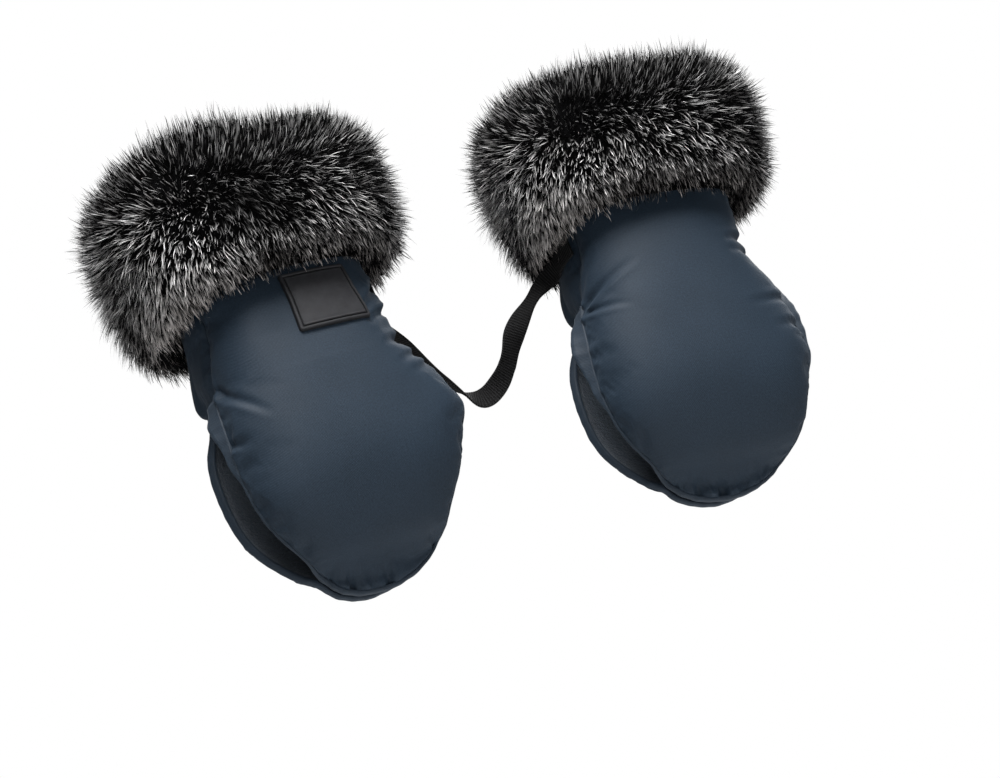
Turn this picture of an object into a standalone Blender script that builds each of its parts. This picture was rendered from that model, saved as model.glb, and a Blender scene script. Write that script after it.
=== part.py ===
"""A pair of padded hand muffs for a stroller handlebar, linked by a webbing strap.

Each muff is a padded mitten. Its front panel runs in one piece from the cuff to the hem and
passes in front of the bar. Its back panel ends at the side slits, and a flap goes on from
there, behind the bar, and closes on the front panel's hem with press studs.

Units are metres, +Z runs up along the muffs towards their cuffs, +X along the handlebar, and
the front panels face -Y. The origin is on the bar's centre line, midway between the muffs.
"""

import math

import bmesh
import bpy
from mathutils import Matrix, Vector

# Places of the pair on a bowed bar: the cuffs lean apart and the front panels turn inwards
MUFF_SPACING = 0.256
SPLAY_ANGLE = math.radians(4.2)
TOE_IN_ANGLE = math.radians(4.0)
BAR_DIAMETER = 0.040
BAR_CLEARANCE = 0.0015
PIECE_GAP = 0.0003
EDGE_GAP = 0.0004

# Heights along a muff, from the bar's centre line
MOUTH_HEIGHT = 0.192
FUR_EDGE_HEIGHT = 0.107
NECK_END_HEIGHT = 0.084
SLIT_HEIGHT = 0.049
PALM_HEIGHT = -0.004
HEM_DEPTH = 0.097
HEM_LIP = 0.012
HEM_LEAN = 0.003

# Inner sizes of the hand pocket
MOUTH_HALF_WIDTH = 0.061
NECK_HALF_WIDTH = 0.056
PALM_HALF_WIDTH = 0.072
NECK_FRONT_DEPTH = 0.042
PALM_FRONT_DEPTH = 0.0425
CUFF_BACK_DEPTH = 0.044
NECK_BACK_DEPTH = 0.032
PALM_BACK_DEPTH = 0.034
FLAP_EXTRA_WIDTH = 0.002

# Cloth and wadding
SHELL_CLOTH = 0.0008
LINING_CLOTH = 0.0012
EDGE_THICKNESS = 0.006
CROWN_THICKNESS = 0.012
BINDING_CLOTH = 0.0010

# Fur cuff
FUR_OUTER = 0.039
FUR_INNER = 0.009
FUR_TOP_RISE = 0.018
FUR_FRONT_HANG = -0.003
FUR_BACK_HANG = 0.009
FUR_TILT = 0.007

# Press studs
SNAP_RADIUS = 0.0050
SNAP_BASE = 0.0008
SNAP_SOCKET = 0.0024
SNAP_POST_RADIUS = 0.0023
SNAP_POST_RISE = 0.0017
SNAP_BORE_RADIUS = 0.0030
SNAP_BORE_DEPTH = 0.0018
SNAP_CHAMFER = 0.0004

# Rubber patch on the left muff
PATCH_WIDTH = 0.046
PATCH_HEIGHT = 0.0425
PATCH_THICKNESS = 0.0020
PATCH_RIM_RISE = 0.0006
PATCH_RIM_WIDTH = 0.0022
PATCH_OFFSET = 0.012
PATCH_TURN = math.radians(-1.0)
PATCH_TOP_BELOW_FUR = 0.0035
PATCH_SEAT_GAP = 0.0007

# Webbing strap
STRAP_WIDTH = 0.015
STRAP_THICKNESS = 0.0014
STRAP_END_BELOW_FUR = 0.012
STRAP_LOWEST = 0.028
STRAP_BEHIND_BAR = 0.050

# Section of the padded tube, and its seams
SQUARENESS_SHARE = 0.05
SEAM_ANGLE = math.radians(70.0)
FLARE_POWER = 1.8
OUTLINE_POWER = 2.1
BOWL_POWER = 2.3
HEM_CORNER_ANGLE = math.radians(60.0)

# Rows of the panels: from the fur's edge up to the mouth, from the slit up to the fur's edge,
# from the slit down to the palm, and from the palm down to the hem's lip
CUFF_ROW_SHARES = (1.0, 0.67, 0.33)
NECK_ROW_SHARES = (1.0, 0.66, 0.32, 0.0)
UPPER_PUFF_SHARES = (0.0, 0.0, 0.0, 0.0, 0.62, 0.92, 1.0)
MIDDLE_ROW_SHARES = (0.5, 1.0)
MIDDLE_PUFF_SHARES = (1.0, 1.0)
LOWER_ROW_SHARES = (0.32, 0.60, 0.82, 1.0)
LOWER_PUFF_SHARES = (1.0, 0.95, 0.7, 0.12)
LOWER_EDGE_SHARES = (0.30, 0.56, 0.74, 0.87)
LOWER_LEVEL_SHARES = (0.1, 0.3, 0.55, 0.85, 1.0)

FRONT_COLUMNS = 10
BACK_COLUMNS = 14
SNAP_SIDES = 16
STRAP_STEPS = 28
SLIT_STEPS = 3
SNAP_PLACE_SHARES = (-0.62, 0.0, 0.62)

# Strap's route: on the left muff as shares of the way round its side, of the strap's width down
# and of its thickness out, then hanging as shares towards the middle, behind the bar and down
STRAP_SEAT_SHARES = ((0.05, 0.0, 0.75), (0.45, 0.15, 2.0), (0.85, 0.6, 5.0))
STRAP_HANG_SHARES = ((0.70, 0.45, 0.30), (0.38, 0.82, 0.72), (0.0, 1.0, 1.0))

CHANNEL_HALF = BAR_DIAMETER / 2 + BAR_CLEARANCE
SNAP_STACK = SNAP_BASE + SNAP_SOCKET + 3 * PIECE_GAP
HEM_HALF_GAP = SNAP_STACK / 2
TIP_DROP = PALM_HEIGHT + HEM_DEPTH


# Small helpers


def muff_place(side):
    """Where a muff lies on the bar: side is -1 for the left muff and 1 for the right one."""
    turn = Matrix.Rotation(-side * TOE_IN_ANGLE, 4, "Z") @ Matrix.Rotation(side * SPLAY_ANGLE, 4, "Y")
    return Matrix.Translation((side * MUFF_SPACING / 2, 0, 0)) @ turn


def clamp(value):
    return min(1.0, max(0.0, value))


def ease(value):
    value = clamp(value)
    return value * value * (3 - 2 * value)


def mix(a, b, share):
    return a + (b - a) * share


def table_at(value, places, values):
    """Reads a table whose places fall, with straight lines between its rows."""
    for i in range(len(places) - 1):
        if value >= places[i + 1]:
            share = clamp((places[i] - value) / (places[i] - places[i + 1]))
            return mix(values[i], values[i + 1], share)
    return values[-1]


# The padded tube above the slits


def half_width(z):
    """Inner half width of the pocket at a height: wide palm, narrow neck, flared mouth."""
    flare = ease((z - FUR_EDGE_HEIGHT) / (MOUTH_HEIGHT - FUR_EDGE_HEIGHT))
    neck = mix(NECK_HALF_WIDTH, MOUTH_HALF_WIDTH, flare)
    fall = clamp((NECK_END_HEIGHT - z) / (NECK_END_HEIGHT - PALM_HEIGHT))
    return mix(neck, PALM_HALF_WIDTH, 1 - (1 - fall) ** FLARE_POWER)


def front_depth(z):
    fall = ease((FUR_EDGE_HEIGHT - z) / (FUR_EDGE_HEIGHT - PALM_HEIGHT))
    return mix(NECK_FRONT_DEPTH, PALM_FRONT_DEPTH, fall)


def back_depth(z):
    """The back is fullest at the cuff and in the palm, and shallow at the slits."""
    neck = ease((FUR_EDGE_HEIGHT - z) / (FUR_EDGE_HEIGHT - SLIT_HEIGHT))
    palm = ease((SLIT_HEIGHT - z) / (SLIT_HEIGHT - PALM_HEIGHT))
    return mix(mix(CUFF_BACK_DEPTH, NECK_BACK_DEPTH, neck), PALM_BACK_DEPTH, palm)


def across(angle):
    return (math.sin(angle) + SQUARENESS_SHARE * math.sin(3 * angle)) / (1 - SQUARENESS_SHARE)


def along(angle):
    return (math.cos(angle) - SQUARENESS_SHARE * math.cos(3 * angle)) / (1 - SQUARENESS_SHARE)


def tube_point(angle, z):
    """Inner surface of the tube: angle 0 is the front's middle, a right angle the right side."""
    forward = along(angle)
    reach = front_depth(z) if forward > 0 else back_depth(z)
    return Vector((half_width(z) * across(angle), -reach * forward, z))


def tube_rise(angle, z):
    return (tube_point(angle, z + PIECE_GAP) - tube_point(angle, z - PIECE_GAP)).normalized()


def tube_normal(angle, z):
    """Outward normal. It is level at the tube's two ends, where its layers end flush."""
    turn = math.radians(0.5)
    round_it = tube_point(angle + turn, z) - tube_point(angle - turn, z)
    rise = Vector((0, 0, 1)) if z in LEVEL_HEIGHTS else tube_rise(angle, z)
    return round_it.cross(rise).normalized()


UPPER_HEIGHTS = [mix(FUR_EDGE_HEIGHT, MOUTH_HEIGHT, share) for share in CUFF_ROW_SHARES]
UPPER_HEIGHTS += [mix(SLIT_HEIGHT, FUR_EDGE_HEIGHT, share) for share in NECK_ROW_SHARES]
LEVEL_HEIGHTS = (UPPER_HEIGHTS[0], UPPER_HEIGHTS[-1])


def puff(u, row_share):
    """Thickness of a padded panel: full in its middle, drawn in to the cloth's edge at its seams."""
    return mix(EDGE_THICKNESS, CROWN_THICKNESS, (1 - abs(u) ** 3) * row_share)


def seam_turn(z):
    """Half the gap of a seam, as an angle of the section."""
    return PIECE_GAP / 2 / half_width(z)


def tube_rows(first, last, columns):
    """Grid, normals and thickness of a panel of the tube between two section angles."""
    grid, normals, thickness = [], [], []
    for z, row_share in zip(UPPER_HEIGHTS, UPPER_PUFF_SHARES):
        low, high = first + seam_turn(z), last - seam_turn(z)
        shares = [i / columns for i in range(columns + 1)]
        angles = [mix(low, high, share) for share in shares]
        grid.append([tube_point(angle, z) for angle in angles])
        normals.append([tube_normal(angle, z) for angle in angles])
        thickness.append([puff(2 * share - 1, row_share) for share in shares])
    return grid, normals, thickness


# The tongues below the slits, in front of the bar and behind it


def outline(angle, wide):
    """The muff's outline seen from the front, from the palm's widest place (0) to its tip."""
    power = 2 / OUTLINE_POWER
    x = wide * math.cos(angle) ** power
    return x, PALM_HEIGHT - TIP_DROP * math.sin(angle) ** power


def outline_drop(u, wide):
    """How far the hem has come down at a share of its half width, from 0 at its corners to 1."""
    corner_x, corner_z = outline(HEM_CORNER_ANGLE, wide)
    cosine = clamp(abs(u) * corner_x / wide) ** (OUTLINE_POWER / 2)
    z = outline(math.acos(cosine), wide)[1]
    return (corner_z - z) / (corner_z - PALM_HEIGHT + TIP_DROP)


def lean(z):
    """How far a tongue has swung to its left at a height, most at its tip."""
    return HEM_LEAN * clamp((PALM_HEIGHT - z) / TIP_DROP) ** 2


def tongue_rows(depth_at, extra, start):
    """Inner surface of a tongue as a front panel, facing -Y. Rows go from the slit to the hem."""
    seam_x, seam_y = across(SEAM_ANGLE), along(SEAM_ANGLE)
    wide = (PALM_HALF_WIDTH + extra) * seam_x
    lip_share = 1 - HEM_LIP / TIP_DROP
    rows = [(SLIT_HEIGHT, SLIT_HEIGHT, half_width(SLIT_HEIGHT) * seam_x,
             depth_at(SLIT_HEIGHT) * seam_y, depth_at(SLIT_HEIGHT))] if start else []
    for share in MIDDLE_ROW_SHARES:
        z = mix(SLIT_HEIGHT, PALM_HEIGHT, share)
        edge = (half_width(z) + extra * share) * seam_x
        reach = depth_at(z)
        rows.append((z, z, edge, mix(reach * seam_y, CHANNEL_HALF, ease(2 * share)), reach))
    for share, edge_share in zip(LOWER_ROW_SHARES, LOWER_EDGE_SHARES):
        edge, edge_z = outline(edge_share * HEM_CORNER_ANGLE, wide)
        middle_z = PALM_HEIGHT - share * lip_share * TIP_DROP
        full = 1 - share ** BOWL_POWER
        rows.append((edge_z, middle_z, edge, mix(HEM_HALF_GAP, CHANNEL_HALF, full),
                     mix(HEM_HALF_GAP, depth_at(PALM_HEIGHT), full)))
    corner_x, corner_z = outline(HEM_CORNER_ANGLE, wide)
    rows.append((corner_z, PALM_HEIGHT - TIP_DROP, corner_x, HEM_HALF_GAP, HEM_HALF_GAP))
    grid = []
    for edge_z, middle_z, edge, edge_y, middle_y in rows:
        line = []
        for i in range(FRONT_COLUMNS + 1):
            u = 2 * i / FRONT_COLUMNS - 1
            angle = u * SEAM_ANGLE
            crown = (along(angle) - seam_y) / (1 - seam_y)
            x = edge * across(angle) / seam_x
            z = mix(edge_z, middle_z, outline_drop(across(angle) / seam_x, wide))
            line.append(Vector((x - lean(z), -mix(edge_y, middle_y, crown), z)))
        grid.append(line)
    return grid


def tongue_thickness(start):
    shares = [UPPER_PUFF_SHARES[-1]] if start else []
    shares += list(MIDDLE_PUFF_SHARES) + list(LOWER_PUFF_SHARES) + [0.0]
    us = [2 * i / FRONT_COLUMNS - 1 for i in range(FRONT_COLUMNS + 1)]
    return [[puff(u, share) for u in us] for share in shares]


def grid_normals(grid, outward):
    """Normals of a tongue, each the mean of the faces round it. They turn level towards the lip."""
    rows, columns = len(grid), len(grid[0])
    normals = [[Vector() for _ in line] for line in grid]
    for r in range(rows - 1):
        for c in range(columns - 1):
            first = grid[r + 1][c + 1] - grid[r][c]
            second = grid[r + 1][c] - grid[r][c + 1]
            face = first.cross(second)
            face *= math.copysign(1.0, face.dot(outward))
            for i, j in ((r, c), (r, c + 1), (r + 1, c), (r + 1, c + 1)):
                normals[i][j] += face
    for line, share in zip(normals[-len(LOWER_LEVEL_SHARES):], LOWER_LEVEL_SHARES):
        line[:] = [mix(normal.normalized(), outward, share) for normal in line]
    return [[normal.normalized() for normal in line] for line in normals]


def front_panel():
    """The whole front panel: the tube's front, then the tongue that hangs in front of the bar."""
    grid, normals, thickness = tube_rows(-SEAM_ANGLE, SEAM_ANGLE, FRONT_COLUMNS)
    tongue = tongue_rows(front_depth, 0.0, False)
    whole = grid + tongue
    below = grid_normals(whole, Vector((0, -1, 0)))[len(grid):]
    return whole, normals + below, thickness + tongue_thickness(False)


def back_panel():
    """The tube's back and sides, down to the slits."""
    return tube_rows(SEAM_ANGLE, 2 * math.pi - SEAM_ANGLE, BACK_COLUMNS)


def flap_panel():
    """The tongue behind the bar. It starts a gap below the back panel."""
    grid = tongue_rows(back_depth, FLAP_EXTRA_WIDTH, True)
    for point in grid[0]:
        point.z -= PIECE_GAP
    grid = [[Vector((p.x, -p.y, p.z)) for p in line] for line in grid]
    normals = grid_normals(grid, Vector((0, 1, 0)))
    for normal in normals[0]:
        normal.z = 0.0
        normal.normalize()
    return grid, normals, tongue_thickness(True)


# Solids from grids


def offset_grid(panel, depth_at):
    grid, normals, thickness = panel
    return [
        [p + n * depth_at(t) for p, n, t in zip(*lines)]
        for lines in zip(grid, normals, thickness)
    ]


def finish_mesh(name, bm):
    bmesh.ops.triangulate(bm, faces=bm.faces[:], quad_method="FIXED")
    bmesh.ops.recalc_face_normals(bm, faces=bm.faces[:])
    mesh = bpy.data.meshes.new(name)
    bm.to_mesh(mesh)
    bm.free()
    mesh.shade_smooth()
    mesh.set_sharp_from_angle(angle=math.radians(50.0))
    return mesh


def slab(name, inner, outer):
    """A closed sheet between two grids of the same size."""
    bm = bmesh.new()
    low = [[bm.verts.new(p) for p in line] for line in inner]
    high = [[bm.verts.new(p) for p in line] for line in outer]
    rows, columns = len(low), len(low[0])
    for sheet in (low, high):
        for r in range(rows - 1):
            for c in range(columns - 1):
                bm.faces.new((sheet[r][c], sheet[r + 1][c], sheet[r + 1][c + 1], sheet[r][c + 1]))
    ring = [(0, c) for c in range(columns - 1)]
    ring += [(r, columns - 1) for r in range(rows - 1)]
    ring += [(rows - 1, c) for c in range(columns - 1, 0, -1)]
    ring += [(r, 0) for r in range(rows - 1, 0, -1)]
    for (r0, c0), (r1, c1) in zip(ring, ring[1:] + ring[:1]):
        bm.faces.new((low[r0][c0], low[r1][c1], high[r1][c1], high[r0][c0]))
    return finish_mesh(name, bm)


def rope(name, sections, closed):
    """A solid through a row of sections of equal count, capped at its ends unless it closes."""
    bm = bmesh.new()
    rings = [[bm.verts.new(p) for p in section] for section in sections]
    count = len(rings[0])
    pairs = list(zip(rings, rings[1:]))
    if closed:
        pairs.append((rings[-1], rings[0]))
    for first, second in pairs:
        for i in range(count):
            j = (i + 1) % count
            bm.faces.new((first[i], first[j], second[j], second[i]))
    if not closed:
        bm.faces.new(rings[0])
        bm.faces.new(rings[-1])
    return finish_mesh(name, bm)


def turned(name, profile, sides):
    """A solid turned about Y from a profile of (radius, place), which starts and ends on the axis."""
    bm = bmesh.new()
    rings = []
    for radius, place in profile:
        if radius == 0:
            rings.append([bm.verts.new((0, place, 0))])
            continue
        ring = []
        for i in range(sides):
            turn = 2 * math.pi * i / sides
            ring.append(bm.verts.new((radius * math.cos(turn), place, radius * math.sin(turn))))
        rings.append(ring)
    for first, second in zip(rings, rings[1:]):
        for i in range(sides):
            j = (i + 1) % sides
            corners = [first[i % len(first)], first[j % len(first)],
                       second[j % len(second)], second[i % len(second)]]
            bm.faces.new(list(dict.fromkeys(corners)))
    return finish_mesh(name, bm)


# The three layers of a padded panel, and the binding along its free edges


def layers(name, panel):
    """Meshes of a panel's lining, wadding and shell, from the hand outwards."""
    def at(offset):
        return offset_grid(panel, offset)

    wadding_in = LINING_CLOTH + PIECE_GAP
    return {
        f"{name}_lining": slab(f"{name}_lining", at(lambda t: 0.0), at(lambda t: LINING_CLOTH)),
        f"{name}_padding": slab(
            f"{name}_padding",
            at(lambda t: wadding_in),
            at(lambda t: t - SHELL_CLOTH - PIECE_GAP),
        ),
        f"{name}_shell": slab(
            f"{name}_shell", at(lambda t: t - SHELL_CLOTH), at(lambda t: t)
        ),
    }


def border(panel, first_row):
    """Free edge of a tongue: down its left side, along the hem and up its right side."""
    grid, normals, thickness = panel
    last_row, last_column = len(grid) - 1, len(grid[0]) - 1
    cells = [(r, 0) for r in range(first_row, last_row)]
    cells += [(last_row, c) for c in range(last_column)]
    cells += [(r, last_column) for r in range(last_row, first_row - 1, -1)]
    return [(grid[r][c], normals[r][c], thickness[r][c]) for r, c in cells]


def slit_top(side):
    """Edge of the back panel over one slit, from behind the bar to the front seam."""
    line = []
    behind = math.pi - SEAM_ANGLE - 4 * BINDING_CLOTH / half_width(SLIT_HEIGHT)
    for i in range(SLIT_STEPS):
        angle = mix(behind, SEAM_ANGLE, i / SLIT_STEPS)
        u = 2 * (angle - SEAM_ANGLE) / (2 * math.pi - 2 * SEAM_ANGLE) - 1
        point, normal = tube_point(angle, SLIT_HEIGHT), tube_normal(angle, SLIT_HEIGHT)
        point.x, normal.x = side * point.x, side * normal.x
        line.append((point, normal, puff(u, UPPER_PUFF_SHARES[-1])))
    return line


def binding(name, line, facing):
    """A tape that stands against an edge and covers the ends of its layers."""
    sections = []
    for i, (point, normal, thickness) in enumerate(line):
        around = line[max(i - 1, 0) : i + 2]
        section = []
        for shares, share in (((0, 1), 0), ((1, 0), 1)):
            spots = [p + n * t * share for p, n, t in around]
            steps = [(b - a).normalized() for a, b in zip(spots, spots[1:])]
            run = sum(steps, Vector()).normalized()
            out = facing * run.cross(normal).normalized()
            out /= math.sqrt(1 - out.dot(steps[0]) ** 2)
            spot = point + normal * thickness * share
            section += [spot + out * (EDGE_GAP + far * BINDING_CLOTH) for far in shares]
        sections.append(section)
    return rope(name, sections, False)


def front_binding(panel):
    edge = border(panel, len(UPPER_HEIGHTS) - 1)
    return binding("front_edge", slit_top(-1) + edge + slit_top(1)[::-1], 1)


# Fur cuff, folded over the mouth


def column_angles():
    """Section angles of the panels' columns, round the whole tube."""
    front = [mix(-SEAM_ANGLE, SEAM_ANGLE, i / FRONT_COLUMNS) for i in range(FRONT_COLUMNS)]
    rest = 2 * math.pi - SEAM_ANGLE
    return front + [mix(SEAM_ANGLE, rest, i / BACK_COLUMNS) for i in range(BACK_COLUMNS)]


def fur_cuff():
    """The cuff goes up the neck's outside, over the mouth's rim and a little way down inside."""
    out, fold_end = EDGE_THICKNESS, UPPER_HEIGHTS[1]
    top = MOUTH_HEIGHT + FUR_TOP_RISE
    height = top - FUR_EDGE_HEIGHT
    outer_shares = ((0.74, 0.06), (1.0, 0.36), (0.97, 0.66), (0.72, 0.90), (0.25, 1.0))
    sections = []
    for angle in column_angles():
        hang = mix(FUR_FRONT_HANG, FUR_BACK_HANG, (1 - math.cos(angle)) / 2)
        hang -= FUR_TILT * math.sin(angle)

        def at(offset, z, place=None):
            point = tube_point(angle, z) + tube_normal(angle, z) * offset
            if place is not None:
                point.z = place
            return point

        def free(offset, z):
            normal = tube_normal(angle, min(z, MOUTH_HEIGHT))
            normal.z = 0
            point = tube_point(angle, min(z, MOUTH_HEIGHT)) + normal.normalized() * offset
            point.z = z
            return point

        section = [at(out + PIECE_GAP, z) for z in UPPER_HEIGHTS[3:0:-1]]
        section += [at(out + PIECE_GAP, MOUTH_HEIGHT, MOUTH_HEIGHT + PIECE_GAP)]
        section += [at(-PIECE_GAP, MOUTH_HEIGHT, MOUTH_HEIGHT + PIECE_GAP)]
        section += [at(-PIECE_GAP, fold_end)]
        section += [free(-0.9 * FUR_INNER, mix(fold_end, MOUTH_HEIGHT, 0.25))]
        section += [free(-FUR_INNER, mix(fold_end, MOUTH_HEIGHT, 0.9))]
        section += [free(-0.5 * FUR_INNER, mix(MOUTH_HEIGHT, top, 0.8))]
        for out_share, up_share in reversed(outer_shares):
            section.append(free(out + out_share * FUR_OUTER, FUR_EDGE_HEIGHT + up_share * height))
        section.append(free(out + 0.36 * FUR_OUTER, FUR_EDGE_HEIGHT - hang))
        sections.append(section)
    return rope("fur_cuff", sections, True)


# Press studs between the hems


def snap_stud():
    face = -HEM_HALF_GAP + PIECE_GAP
    top = face + SNAP_BASE
    post = top + SNAP_POST_RISE
    profile = (
        (0, face), (SNAP_RADIUS, face), (SNAP_RADIUS, top), (SNAP_POST_RADIUS, top),
        (SNAP_POST_RADIUS, post - SNAP_CHAMFER), (SNAP_POST_RADIUS - SNAP_CHAMFER, post), (0, post),
    )
    return turned("snap_stud", profile, SNAP_SIDES)


def snap_socket():
    back = HEM_HALF_GAP - PIECE_GAP
    face = back - SNAP_SOCKET
    bore = face + SNAP_BORE_DEPTH
    profile = (
        (0, back), (SNAP_RADIUS, back), (SNAP_RADIUS, face), (SNAP_BORE_RADIUS, face),
        (SNAP_BORE_RADIUS, bore), (0, bore),
    )
    return turned("snap_socket", profile, SNAP_SIDES)


def snap_places():
    """Centres of the press studs, half the lip above the hem's line."""
    wide = PALM_HALF_WIDTH * across(SEAM_ANGLE)
    corner_x, corner_z = outline(HEM_CORNER_ANGLE, wide)
    places = []
    for share in SNAP_PLACE_SHARES:
        z = mix(corner_z, PALM_HEIGHT - TIP_DROP, outline_drop(share, wide))
        z += HEM_LIP / 2
        places.append(Vector((share * corner_x - lean(z), 0, z)))
    return places


# Rubber patch


def patch():
    """A moulded label with a raised rim. It follows the neck's curve."""
    middle = FUR_EDGE_HEIGHT - PATCH_TOP_BELOW_FUR - PATCH_HEIGHT / 2
    rim_x = PATCH_RIM_WIDTH / PATCH_WIDTH
    rim_z = PATCH_RIM_WIDTH / PATCH_HEIGHT
    columns = (0.0, rim_x, 1.5 * rim_x, 0.33, 0.5, 0.67, 1 - 1.5 * rim_x, 1 - rim_x, 1.0)
    rows = (0.0, rim_z, 1.5 * rim_z, 0.5, 1 - 1.5 * rim_z, 1 - rim_z, 1.0)
    under, over = [], []
    for r, row in enumerate(rows):
        low, high = [], []
        for c, column in enumerate(columns):
            right, down = (column - 0.5) * PATCH_WIDTH, (row - 0.5) * PATCH_HEIGHT
            arc = PATCH_OFFSET + right * math.cos(PATCH_TURN) + down * math.sin(PATCH_TURN)
            z = middle - down * math.cos(PATCH_TURN) + right * math.sin(PATCH_TURN)
            angle = arc / (NECK_HALF_WIDTH + CROWN_THICKNESS)
            surface = tube_point(angle, z)
            normal = tube_normal(angle, z)
            puffed = table_at(z, UPPER_HEIGHTS, UPPER_PUFF_SHARES)
            seat = puff(angle / SEAM_ANGLE, puffed) + PATCH_SEAT_GAP
            on_rim = r < 2 or c < 2 or r > len(rows) - 3 or c > len(columns) - 3
            rise = PATCH_THICKNESS + (PATCH_RIM_RISE if on_rim else 0)
            low.append(surface + normal * seat)
            high.append(surface + normal * (seat + rise))
        under.append(low)
        over.append(high)
    return slab("left_patch", under, over)


# Strap between the muffs


def strap_route():
    """Centre line from the left muff's right seam, down behind the bar, to the right muff."""
    start_z = FUR_EDGE_HEIGHT - STRAP_END_BELOW_FUR
    points = []
    for turn_share, fall_share, lift_share in STRAP_SEAT_SHARES:
        z = start_z - fall_share * STRAP_WIDTH
        angle = mix(SEAM_ANGLE, math.pi - SEAM_ANGLE, turn_share)
        u = 2 * (angle - SEAM_ANGLE) / (2 * math.pi - 2 * SEAM_ANGLE) - 1
        puffed = table_at(z, UPPER_HEIGHTS, UPPER_PUFF_SHARES)
        lift = puff(u, puffed) + PIECE_GAP + lift_share * STRAP_THICKNESS
        points.append(muff_place(-1) @ (tube_point(angle, z) + tube_normal(angle, z) * lift))
    knee = points[-1]
    for across_share, behind_share, fall_share in STRAP_HANG_SHARES:
        points.append(Vector((
            across_share * knee.x,
            mix(knee.y, STRAP_BEHIND_BAR, behind_share),
            mix(knee.z, STRAP_LOWEST, fall_share),
        )))
    return points + [Vector((-p.x, p.y, p.z)) for p in points[-2::-1]]


def smooth_curve(points, steps):
    """Points of equal count on a smooth curve through the given ones."""
    padded = [2 * points[0] - points[1]] + points + [2 * points[-1] - points[-2]]
    spans = len(points) - 1
    curve = []
    for i in range(steps + 1):
        place = i * spans / steps
        k = min(int(place), spans - 1)
        t = place - k
        a, b, c, d = padded[k : k + 4]
        bend = (2 * a - 5 * b + 4 * c - d) * t * t + (3 * b - a - 3 * c + d) * t * t * t
        curve.append((2 * b + (c - a) * t + bend) / 2)
    return curve


def strap():
    """Flat webbing. Its width lies along the seam at its ends and across the bar in between."""
    curve = smooth_curve(strap_route(), STRAP_STEPS)
    along_seam = muff_place(-1).to_3x3() @ tube_rise(math.pi / 2, FUR_EDGE_HEIGHT - STRAP_WIDTH)
    sections = []
    for i, point in enumerate(curve):
        run = (curve[min(i + 1, STRAP_STEPS)] - curve[max(i - 1, 0)]).normalized()
        hang = ease(min(i, STRAP_STEPS - i) / (0.34 * STRAP_STEPS))
        seam = Vector((along_seam.x * (1 if i < STRAP_STEPS / 2 else -1), along_seam.y, along_seam.z))
        wide = mix(-seam, Vector((0, -1, 0)), hang)
        wide = (wide - run * wide.dot(run)).normalized() * STRAP_WIDTH / 2
        thick = run.cross(wide).normalized() * STRAP_THICKNESS / 2
        sections.append([point + wide + thick, point + wide - thick,
                         point - wide - thick, point - wide + thick])
    length = sum((b - a).length for a, b in zip(curve, curve[1:]))
    print(f"strap length {length:.4f} m")
    return rope("connecting_strap", sections, False)


# Materials and the assembly


def material(name, colour, roughness, metallic=0.0):
    made = bpy.data.materials.new(name)
    made.use_nodes = True
    shader = made.node_tree.nodes["Principled BSDF"]
    shader.inputs["Base Color"].default_value = (*colour, 1.0)
    shader.inputs["Roughness"].default_value = roughness
    shader.inputs["Metallic"].default_value = metallic
    made.diffuse_color = (*colour, 1.0)
    return made


def clear_scene():
    for old in list(bpy.data.objects):
        bpy.data.objects.remove(old, do_unlink=True)


def empty(name, place, parent=None):
    made = bpy.data.objects.new(name, None)
    made.location = place
    made.parent = parent
    bpy.context.collection.objects.link(made)
    return made


def place_piece(name, mesh, finish, parent, place=(0, 0, 0)):
    made = bpy.data.objects.new(name, mesh)
    made.location = place
    made.parent = parent
    if not mesh.materials:
        mesh.materials.append(finish)
    bpy.context.collection.objects.link(made)
    return made


def moved(mesh, shift):
    for vertex in mesh.vertices:
        vertex.co += shift
    return mesh


def hinge_line(panel):
    """The flap turns about the outermost line of its top edge, where the shell cloth bends."""
    outer = offset_grid(panel, lambda t: t)[0]
    return Vector((0, max(p.y for p in outer), SLIT_HEIGHT - PIECE_GAP / 2))


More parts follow.
